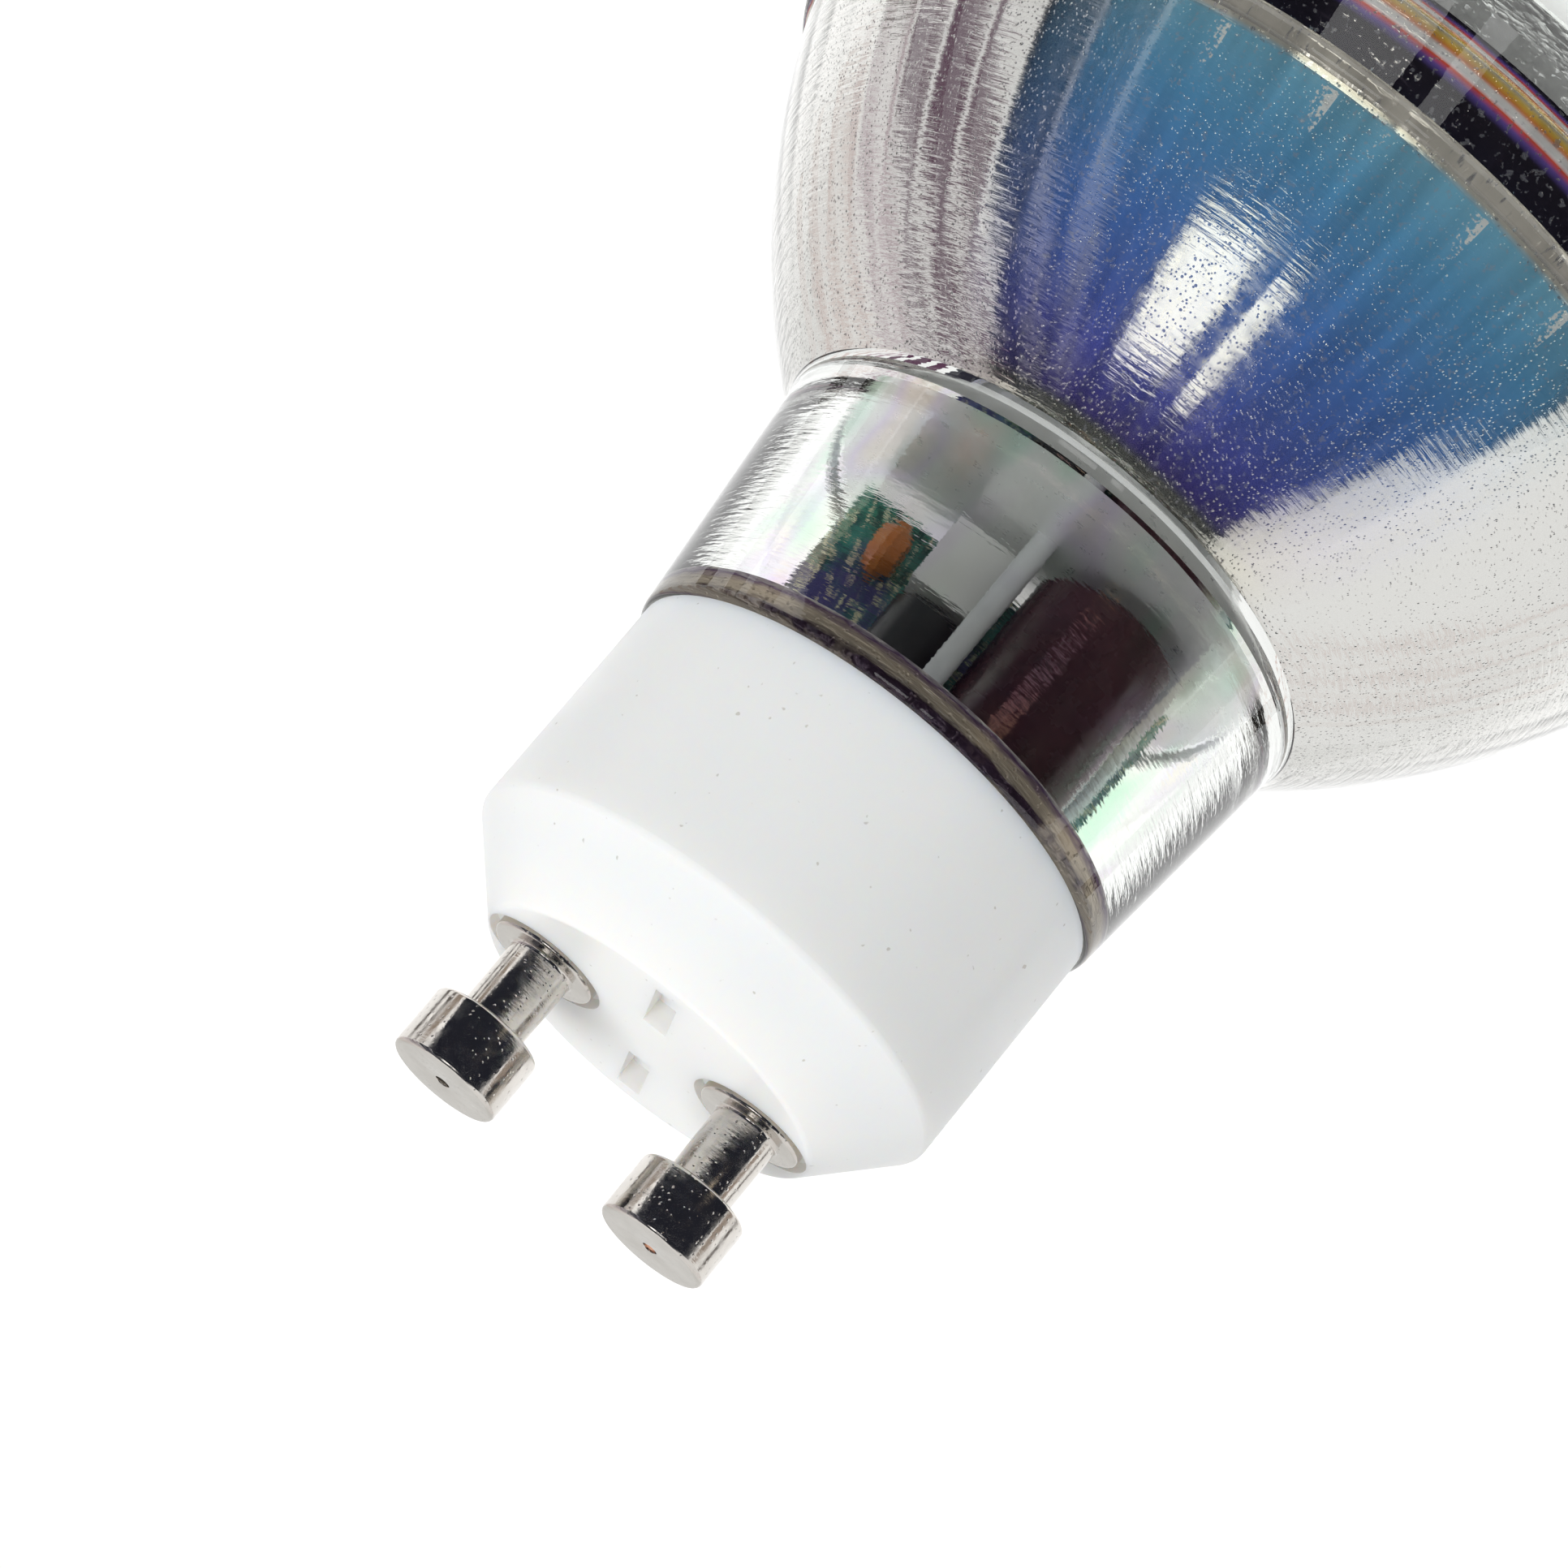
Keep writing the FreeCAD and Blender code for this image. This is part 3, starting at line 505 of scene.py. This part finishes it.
def green_laminate():
    """Solder mask over tracks, with a painted violet sheen in patches, and pale specks that are tinned pads
    and painted glints at once.
    """
    finish = Finish("green_laminate", {"Specular IOR Level": 0.6})
    upright = finish.add("ShaderNodeMapping", inputs={
        "Vector": finish.place,
        "Rotation": (math.pi / 2, 0.0, 0.0),
    }).outputs[0]
    tracks = finish.add("ShaderNodeTexBrick", inputs={
        "Vector": upright,
        "Scale": 420.0,
        "Mortar Size": 0.06,
        "Color1": (0.03, 0.2, 0.14, 1.0),
        "Color2": (0.05, 0.3, 0.2, 1.0),
        "Mortar": (0.01, 0.09, 0.07, 1.0),
    })
    pale = finish.span(finish.noise(700.0, 3.0), 0.45, 0.7)
    # A painted violet sheen in patches, and pale specks for tinned pads that also paint glints.
    violet_sheen = finish.span(finish.noise(420.0, 3.0), 0.5, 0.62)
    pads_and_glints = finish.span(finish.noise(2300.0), 0.57, 0.63)
    mask = finish.mix(pale, tracks.outputs["Color"], (0.07, 0.36, 0.3))
    mask = finish.mix(violet_sheen, mask, (0.1, 0.1, 0.3))
    finish.color(finish.mix(pads_and_glints, mask, (0.85, 0.85, 0.6)))
    finish.rough(finish.noise(1800.0, 3.0), 0.16, 0.32)
    finish.bump(tracks.outputs["Fac"], 30.0)
    return finish.material


def plain_finish(name, dark, light, scale, low, high, microns=10.0):
    """A surface that drifts between two colours, with its gloss and relief broken up by noise."""
    finish = Finish(name)
    finish.color(finish.mix(finish.noise(scale, 4.0), dark, light))
    finish.rough(finish.noise(scale * 2.0, 3.0), low, high)
    finish.bump(finish.noise(scale * 3.0, 3.0), microns)
    return finish.material


def capacitor_sleeve():
    """Dark shrunk sleeve, faintly ringed."""
    finish = Finish("capacitor_sleeve", {"Specular IOR Level": 0.4})
    finish.color(finish.mix(finish.noise(900.0, 3.0), (0.03, 0.008, 0.012), (0.07, 0.02, 0.026)))
    finish.rough(finish.noise(1200.0, 3.0), 0.2, 0.34)
    finish.bump(finish.noise(1.0, 2.0, finish.stretch(500.0, 500.0, 2600.0)), 10.0)
    return finish.material


def brushed_aluminium():
    """The LED board: bare metal, matt and finely marked."""
    finish = Finish("brushed_aluminium", {"Metallic": 0.6})
    finish.color(finish.mix(finish.noise(800.0, 4.0), (0.8, 0.8, 0.8), (0.92, 0.92, 0.9)))
    finish.rough(finish.noise(1500.0, 3.0), 0.25, 0.42)
    finish.bump(finish.noise(4000.0, 3.0), 8.0)
    return finish.material


def white_case():
    """The white moulded case of an emitter, with faint rings."""
    finish = Finish("white_case", {"Specular IOR Level": 0.5})
    finish.color(finish.mix(finish.noise(500.0, 3.0), (0.78, 0.78, 0.76), (0.88, 0.88, 0.87)))
    finish.rough(finish.noise(1500.0, 3.0), 0.3, 0.45)
    rings = finish.add("ShaderNodeTexWave", {"wave_type": "RINGS", "rings_direction": "Z"}, {
        "Vector": finish.place,
        "Scale": 260.0,
        "Distortion": 0.6,
    })
    finish.bump(rings.outputs["Fac"], 30.0)
    return finish.material


def phosphor():
    """The yellow window of an emitter."""
    finish = Finish("phosphor", {"Coat Weight": 0.6, "Coat Roughness": 0.08})
    finish.color(finish.mix(finish.noise(3000.0, 4.0), (0.72, 0.5, 0.05), (0.86, 0.68, 0.14)))
    finish.rough(finish.noise(4000.0), 0.3, 0.5)
    finish.bump(finish.noise(6000.0), 10.0)
    return finish.material


# Outlines, as points of radius and height in millimetres

def arc_centre(first, last, radius):
    """The centre of the short arc between two points that bulges to the right of the way."""
    chord = Vector(last) - Vector(first)
    left = Vector((-chord.y, chord.x)).normalized()
    return Vector(first) + chord / 2 + left * math.sqrt(radius**2 - (chord.length / 2) ** 2)


def on_circle(centre, radius, start, end, steps):
    """Points on a circle from one angle to another, both ends among them."""
    turns = [start + (end - start) * step / steps for step in range(steps + 1)]
    return [(centre.x + radius * math.cos(turn), centre.y + radius * math.sin(turn)) for turn in turns]


def arc_between(first, last, radius, steps):
    """Points along the short arc between two points, both of them among them."""
    centre = arc_centre(first, last, radius)
    start = math.atan2(first[1] - centre.y, first[0] - centre.x)
    end = math.atan2(last[1] - centre.y, last[0] - centre.x)
    return on_circle(centre, radius, start, end, steps)


def run_to(start, end, steps):
    """Points along a straight run, without its start."""
    points = []
    for step in range(1, steps + 1):
        part = step / steps
        points.append((start[0] + (end[0] - start[0]) * part, start[1] + (end[1] - start[1]) * part))
    return points


def rounded(before, corner, after, radius, steps):
    """The points of a small round that takes the place of a corner."""
    corner = Vector(corner)
    back = (Vector(before) - corner).normalized()
    ahead = (Vector(after) - corner).normalized()
    half = back.angle(ahead) / 2
    cut = radius / math.tan(half)
    centre = corner + (back + ahead).normalized() * (radius / math.sin(half))
    start = corner + back * cut - centre
    sweep = (corner + ahead * cut - centre).angle_signed(start)
    points = []
    for step in range(steps + 1):
        arm = start.copy()
        arm.rotate(Matrix.Rotation(sweep * step / steps, 2))
        points.append(tuple(centre + arm))
    return points


def outline(corners):
    """Points through corners. A third and a fourth value in a corner are its round's radius and steps."""
    points = []
    for index, (radius, height, *soft) in enumerate(corners):
        if soft:
            points += rounded(corners[index - 1][:2], (radius, height), corners[index + 1][:2], *soft)
        else:
            points.append((radius, height))
    return points


# Meshes

def new_piece(name, mesh, materials, replaced=()):
    """Put a finished mesh in the scene as a piece of the lamp."""
    piece = bpy.data.objects.new(name, mesh)
    bpy.context.scene.collection.objects.link(piece)
    for material in materials:
        mesh.materials.append(material)
    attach(piece, BODY)
    if replaced:
        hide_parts(*replaced)


def mesh_of(shape, name):
    """Turn a bmesh into a mesh, and let the bmesh go."""
    mesh = bpy.data.meshes.new(name)
    shape.to_mesh(mesh)
    shape.free()
    return mesh


def mark_creases(shape):
    """Shade smoothly over every edge but the sharp ones. Between two coated faces a slight bend is sharp."""
    for edge in shape.edges:
        if len(edge.link_faces) == 2:
            coated = all(face.material_index == COAT for face in edge.link_faces)
            edge.smooth = edge.calc_face_angle() < math.radians(COAT_CREASE if coated else CREASE)


def lathe(name, rows, around, centre=(0.0, 0.0), reach=None, material_of=None):
    """Turn a closed outline of radius and height in millimetres about an upright axis into a mesh.

    reach gives a point's true radius from its row, radius and turn, and material_of a row's material.
    """
    shape = bmesh.new()
    rings = []
    for index, (radius, height) in enumerate(rows):
        ring = []
        for step in range(around):
            turn = 2 * math.pi * step / around
            far = reach(index, radius, turn) if reach else radius
            spot = (centre[0] + far * math.cos(turn), centre[1] + far * math.sin(turn), height)
            ring.append(shape.verts.new(Vector(spot) * MM))
        rings.append(ring)
    for index, lower in enumerate(rings):
        upper = rings[(index + 1) % len(rings)]
        for step in range(around):
            after = (step + 1) % around
            face = shape.faces.new((lower[step], lower[after], upper[after], upper[step]))
            face.smooth = True
            if material_of:
                face.material_index = material_of(index)
    bmesh.ops.recalc_face_normals(shape, faces=shape.faces)
    mark_creases(shape)
    return mesh_of(shape, name)


# The reflector

BOWL_START = (BOWL_RADIUS, BOWL)
BOWL_END = (CORNER_RADIUS, CORNER)
NECK_END = (NECK_RADIUS, LIP)


def outside_rows():
    """The outline of the glass from the rim's front up to the mouth of the bore."""
    bead = arc_between((BEAD_RADIUS, BEAD), BOWL_START, BEAD_ARC, BEAD_STEPS)
    bowl = arc_between(BOWL_START, BOWL_END, BOWL_ARC, BOWL_STEPS)
    rows = outline([
        (RECESS_RADIUS, 0.0),
        (RIM_RADIUS, 0.0, RIM_ROUND, ROUND_STEPS),
        (RIM_RADIUS, RIM_TOP),
        (SHOULDER_RADIUS, SHOULDER),
    ])
    rows += [*bead, *bowl[1:-1]]
    rows += rounded(bowl[-2], BOWL_END, NECK_END, CORNER_ROUND, ROUND_STEPS)
    rows += run_to(BOWL_END, NECK_END, NECK_STEPS)[:-1]
    rows += rounded(BOWL_END, NECK_END, (NECK_BORE, LIP), LIP_ROUND, ROUND_STEPS)
    rows.append((NECK_BORE, LIP))
    return rows


def bore_rows():
    """The outline down the neck's bore and past the seat of the LED board, to the throat of the bowl."""
    slope = (SEAT_RADIUS - NECK_BORE) / (LIP - SEAT)
    # The low edge of the lip's painted reflections.
    painted_lip_end = (NECK_BORE + slope * (LIP - LIP_PAINT_LOW), LIP_PAINT_LOW)
    return [painted_lip_end, (SEAT_RADIUS, SEAT), (THROAT_RADIUS, SEAT), (THROAT_RADIUS, THROAT)]


def fluted_rows():
    """The outline down the fluted bowl, whose wall is even, and over the shoulder band to the ledge."""
    centre = arc_centre(BOWL_START, BOWL_END, BOWL_ARC)
    reach = BOWL_ARC - BOWL_WALL
    throat_turn = math.asin((THROAT - centre.y) / reach)
    kink_turn = math.asin((KINK - centre.y) / reach)
    bowl = on_circle(centre, reach, throat_turn, kink_turn, INSIDE_STEPS)
    return bowl + run_to((bowl[-1][0], KINK), (LEDGE_RADIUS, LEDGE), BAND_STEPS)


def flute_reach(radius, turn):
    """The radius of the fluted face: flat facets, each very slightly hollow, with ridges on the radius."""
    part = turn * FLUTES / (2 * math.pi) % 1.0
    flat = radius * math.cos(math.pi / FLUTES) / math.cos((part - 0.5) * 2 * math.pi / FLUTES)
    return flat + FLUTE_DEPTH * 4 * part * (1 - part)


def add_reflector():
    """The pressed glass, coated on its flutes, painted with reflections on its lip and filmed over in its
    bore.
    """
    outside, bore, fluted = outside_rows(), bore_rows(), fluted_rows()
    rows = [*outside, *bore, *fluted, (RECESS_RADIUS, LEDGE)]
    mouth = len(outside) - 1
    first = len(outside) + len(bore)
    last = first + len(fluted) - 1
    finishes = {mouth: LIP_PAINTED, mouth + 1: FILMED}

    def reach(index, radius, turn):
        return flute_reach(radius, turn) if first <= index <= last else radius

    def material_of(index):
        return COAT if first <= index < last else finishes.get(index, CLEAR)

    mesh = lathe("reflector", rows, FLUTES * FLUTE_STEPS, reach=reach, material_of=material_of)
    materials = [clear_glass(), mirror_coat(), lip_painted_reflections(), neck_film()]
    new_piece("reflector", mesh, materials, ["glass_reflector"])


# The pins, the wire's end and the emitters, in millimetres

PIN_SPACING = 10.0
PIN_TOP = 52.999
PIN_SEAT = 46.35
PIN_FLOOR = 44.6
PIN_AROUND = 128
HEAD_HEIGHT = 2.75
FLANGE_HEIGHT = 0.65
CLINCH_HEIGHT = 0.45
MOUTH_HEIGHT = 0.3
FUNNEL_HEIGHT = 0.4

# The wire's end: its radius, the depth of its middle in the pin, and its height as a share of its width.
LEAD_END = 0.3
LEAD_SUNK = 0.2
LEAD_FLATTENED = 0.6

# The white edge round an emitter's window, and the window's slope and depth.
EMITTERS = 8
WINDOW_EDGE = 0.35
WINDOW_SLOPE = 0.08
WINDOW_SUNK = 0.12


def pin_rows():
    """The outline of a hollow rivet pin, with its clinched end, stem, flange, shank and head."""
    bore, mouth, stem, shank, clinch, flange, head = 0.45, 0.32, 1.1, 1.4, 1.6, 2.3, 2.375
    clinch_end = PIN_FLOOR - CLINCH_HEIGHT
    flange_top = PIN_SEAT + FLANGE_HEIGHT
    head_low = PIN_TOP - HEAD_HEIGHT
    return outline([
        (bore, clinch_end),
        (clinch, clinch_end, 0.15, 4),
        (clinch, PIN_FLOOR),
        (stem, PIN_FLOOR),
        (stem, PIN_SEAT),
        (flange, PIN_SEAT),
        (flange, flange_top, 0.15, 5),
        (shank, flange_top, 0.15, 4),
        (shank, head_low, 0.12, 4),
        (head, head_low, 0.18, 6),
        (head, PIN_TOP, 0.2, 8),
        (mouth, PIN_TOP, 0.04, 4),
        (mouth, PIN_TOP - MOUTH_HEIGHT),
        (bore, PIN_TOP - FUNNEL_HEIGHT),
    ])


def add_pins(nickel):
    for side, name in ((-1, "contact_pin_left"), (1, "contact_pin_right")):
        mesh = lathe(name + "_turned", pin_rows(), PIN_AROUND, centre=(PIN_SPACING / 2 * side, 0.0))
        new_piece(name + "_turned", mesh, [nickel], [name])


def add_lead_end(copper):
    """The end of the live wire, swaged nearly flush with the mouth of its pin."""
    shape = bmesh.new()
    bmesh.ops.create_uvsphere(shape, u_segments=32, v_segments=16, radius=LEAD_END * MM)
    flattened = Matrix.Diagonal((1.0, 1.0, LEAD_FLATTENED, 1.0))
    place = Matrix.Translation(Vector((-PIN_SPACING / 2, 0.0, PIN_TOP - LEAD_SUNK)) * MM)
    bmesh.ops.transform(shape, matrix=place @ flattened, verts=shape.verts)
    for face in shape.faces:
        face.smooth = True
    new_piece("lead_end", mesh_of(shape, "lead_end"), [copper])


def add_emitters(case, window):
    """Each emitter is a white case round a sunk yellow window."""
    for number in range(1, EMITTERS + 1):
        node = "led_emitter_" + str(number)
        shape = bmesh.new()
        shape.from_mesh(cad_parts[node].data)
        bmesh.ops.remove_doubles(shape, verts=shape.verts, dist=0.01 * MM)
        bmesh.ops.dissolve_limit(shape, angle_limit=0.02, verts=shape.verts, edges=shape.edges)
        front = min(shape.faces, key=lambda face: face.calc_center_median().z)
        bmesh.ops.inset_region(shape, faces=[front], thickness=WINDOW_EDGE * MM, depth=0.0)
        front.material_index = 1
        bmesh.ops.inset_region(shape, faces=[front], thickness=WINDOW_SLOPE * MM, depth=-WINDOW_SUNK * MM)
        new_piece(node + "_case", mesh_of(shape, node + "_case"), [case, window], [node])


def paint(material, *names):
    """Give CAD nodes that keep their own shape a finish."""
    for name in names:
        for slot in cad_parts[name].material_slots:
            slot.material = material


def finish_inner_parts():
    """Finishes of the driver board and what stands on it, seen through the neck."""
    paint(green_laminate(), "driver_board")
    paint(capacitor_sleeve(), "smoothing_capacitor")
    black = plain_finish("black_case", (0.012, 0.012, 0.014), (0.035, 0.035, 0.04), 1400.0, 0.28, 0.45)
    paint(black, "choke", "bridge_rectifier", "driver_chip")
    pale = plain_finish("pale_case", (0.84, 0.83, 0.8), (0.94, 0.93, 0.91), 900.0, 0.35, 0.5)
    paint(pale, "film_capacitor")
    orange = plain_finish("orange_dip", (0.5, 0.14, 0.03), (0.7, 0.25, 0.06), 700.0, 0.2, 0.35, 20.0)
    paint(orange, "ceramic_capacitor")
    coat = plain_finish("fuse_coat", (0.1, 0.3, 0.22), (0.22, 0.46, 0.36), 900.0, 0.35, 0.55)
    paint(coat, "fuse_resistor")
    sleeve = plain_finish("wire_sleeve", (0.62, 0.62, 0.64), (0.78, 0.78, 0.8), 1200.0, 0.3, 0.45, 8.0)
    paint(sleeve, "led_wire_positive", "led_wire_negative")
    ceramic = plain_finish("resistor_body", (0.02, 0.02, 0.025), (0.07, 0.07, 0.08), 2500.0, 0.3, 0.5)
    paint(ceramic, "chip_resistor_1", "chip_resistor_2", "chip_resistor_3", "chip_resistor_4")


# Light and surroundings, in metres

# How bright the world and the cards are to light that the lamp scatters.
SCATTERED_LEVEL = 0.55

FLOOR_HALF = 3.0
LAMP_MIDDLE = Vector((0.0, 0.0, 0.026))
WHITE = (1.0, 1.0, 1.0, 1.0)


def add_floor():
    """A wide white floor under the rim. It keeps the lamp's shadow and reads as white to the camera."""
    mesh = bpy.data.meshes.new("floor")
    corners = [(-1, -1), (1, -1), (1, 1), (-1, 1)]
    mesh.from_pydata([(x * FLOOR_HALF, y * FLOOR_HALF, 0.0) for x, y in corners], [], [(0, 1, 2, 3)])
    floor = bpy.data.objects.new("floor", mesh)
    bpy.context.scene.collection.objects.link(floor)
    finish = Finish("floor_white", {"Base Color": (0.8, 0.8, 0.8, 1.0), "Roughness": 0.9})
    strength = finish.math("MULTIPLY", finish.seen_outright(), 0.5)
    glow = finish.add("ShaderNodeEmission", inputs={"Color": WHITE, "Strength": strength})
    finish.show(finish.add("ShaderNodeAddShader", inputs={0: finish.shader.outputs[0], 1: glow.outputs[0]}))
    mesh.materials.append(finish.material)


def add_world():
    """Even white surroundings, at full white where the camera, metal or glass sees them."""
    world = bpy.data.worlds.new("studio")
    world.use_nodes = True
    nodes = Nodes(world.node_tree)
    background = nodes.tree.nodes["Background"].inputs
    background["Color"].default_value = WHITE
    nodes.feed(background["Strength"], nodes.span(nodes.seen_outright(), 0.0, 1.0, SCATTERED_LEVEL, 1.0))
    bpy.context.scene.world = world


def add_light(name, toward, distance, width, depth, power):
    """An area light some way from the lamp's middle, which gloss and glass don't see."""
    data = bpy.data.lights.new(name, "AREA")
    data.shape = "RECTANGLE"
    data.size = width
    data.size_y = depth
    data.energy = power
    light = bpy.data.objects.new(name, data)
    bpy.context.scene.collection.objects.link(light)
    light.location = LAMP_MIDDLE + toward * distance
    light.rotation_euler = toward.to_track_quat("Z", "Y").to_euler()
    light.visible_glossy = False
    light.visible_transmission = False


CARD_COLUMNS = 16


def add_card(name, edges, color):
    """A curved studio card that only gloss and glass see. To scattered light it is as bright as the world.

    Each edge is a distance and an elevation from the lamp's middle and the card's two azimuths there, which
    count from the camera's own. The angles are in degrees.
    """
    points = []
    for distance, elevation, start, end in edges:
        for step in range(CARD_COLUMNS + 1):
            turn = CAMERA_AZIMUTH + math.radians(start + (end - start) * step / CARD_COLUMNS)
            points.append(LAMP_MIDDLE + direction(turn, math.radians(elevation)) * distance)
    faces = []
    for row in range(len(edges) - 1):
        for step in range(CARD_COLUMNS):
            first = row * (CARD_COLUMNS + 1) + step
            above = first + CARD_COLUMNS + 1
            faces.append((first, first + 1, above + 1, above))
    mesh = bpy.data.meshes.new(name)
    mesh.from_pydata(points, [], faces)
    card = bpy.data.objects.new(name, mesh)
    bpy.context.scene.collection.objects.link(card)
    card.visible_camera = False
    card.visible_diffuse = False
    card.visible_shadow = False
    finish = Finish(name)
    depth = finish.add("ShaderNodeLightPath").outputs["Diffuse Depth"]
    scattered = finish.math("MINIMUM", depth, 1.0)
    glow = finish.mix(scattered, color, (SCATTERED_LEVEL, SCATTERED_LEVEL, SCATTERED_LEVEL))
    finish.show(finish.add("ShaderNodeEmission", inputs={"Color": glow}))
    mesh.materials.append(finish.material)
    return card


def strip(middle, half, *ends):
    """The edges of an upright strip, with each end as a distance and an elevation."""
    return [(distance, elevation, middle - half, middle + half) for distance, elevation in ends]


CARDS_AWAY = 0.6
BRIGHT_AWAY = 0.5
POLES_AWAY = 0.58

DARK = (0.02, 0.022, 0.032)
BROWN = (0.1, 0.08, 0.07)
TAN = (0.4, 0.33, 0.28)
MAROON = (0.11, 0.05, 0.09)
MAUVE = (0.5, 0.38, 0.43)
PINK = (0.75, 0.62, 0.59)
HAZE = (0.3, 0.3, 0.36)

# The dark gap round the camera: elevations, each with the azimuths where the gap starts and ends.
GAP = [
    (-2, -68, 84), (7, -68, 84), (15, -67, 84), (22, -65, 84), (32, -60, 84), (37, -57, 84),
    (44, -57, 84), (49, -58, 86), (56, -60, 90), (64, -70, 97), (74, -100, 110), (86, -170, 170),
]

# Narrow strips to both sides, low down and full height: the middle's azimuth, half the width and the colour.
LOW_POLES = [(-105, 4, BROWN), (98, 4, BROWN), (116, 4, BROWN), (-80, 7, TAN), (83, 7, TAN)]
POLES = [
    (56, 2.5, HAZE), (70, 2.0, HAZE), (91, 2.5, MAROON), (101, 3.5, MAROON), (111, 2.0, MAROON),
    (118, 1.5, MAUVE), (124, 1.2, MAUVE), (131, 1.4, PINK), (138, 1.4, PINK), (145, 1.4, PINK),
    (-112, 0.9, PINK), (-122, 0.9, PINK), (-132, 0.9, PINK),
]


def add_studio():
    """Even white light, and cards that give metal and the coat their dark, bright and tinted reflections."""
    add_world()
    add_floor()
    add_light("key", seen_from_camera(-0.62, -0.42, 0.66), 0.6, 0.35, 0.35, 2.35)
    add_card("dark_gap", [(CARDS_AWAY, *edge) for edge in GAP], DARK)
    add_card("dark_low", [(0.05, -30, -72, 75), (0.12, -11.8, -72, 75), (CARDS_AWAY, -2.2, -66, 60)], DARK)
    for number, (middle, half, color) in enumerate(LOW_POLES):
        add_card("low_pole_" + str(number), strip(middle, half, (0.085, -17), (0.3, -4.5)), color)
    add_card("bright_wide", [(BRIGHT_AWAY, 34, 9, 27), (BRIGHT_AWAY, 57, 12, 34)], (2.1, 2.1, 2.1))
    add_card("bright_thin", [(BRIGHT_AWAY, 36, -4, 2), (BRIGHT_AWAY, 60, -5, 3)], (2.0, 2.0, 2.0))
    add_card("low_glint", [(0.082, -16.6, -31, -22), (0.108, -12.5, -31, -22)], (1.3, 1.1, 0.85))
    for number, (middle, half, color) in enumerate(POLES):
        add_card("pole_" + str(number), strip(middle, half, (POLES_AWAY, -12), (POLES_AWAY, 62)), color)
    back = add_card("grey_back", [(CARDS_AWAY, 4, 140, 220), (CARDS_AWAY, 40, 140, 220)], (0.8, 0.8, 0.79))
    back.visible_transmission = False


def main():
    bpy.context.scene.view_settings.view_transform = "Standard"
    add_camera()
    add_studio()
    add_reflector()
    add_pins(bright_nickel())
    add_emitters(white_case(), phosphor())
    paint(cover_glass(), "front_cover")
    paint(white_plastic(), "base_cap")
    copper = bare_copper()
    paint(copper, "lead_wire_live", "lead_wire_neutral")
    add_lead_end(copper)
    paint(brushed_aluminium(), "led_board")
    finish_inner_parts()


main()
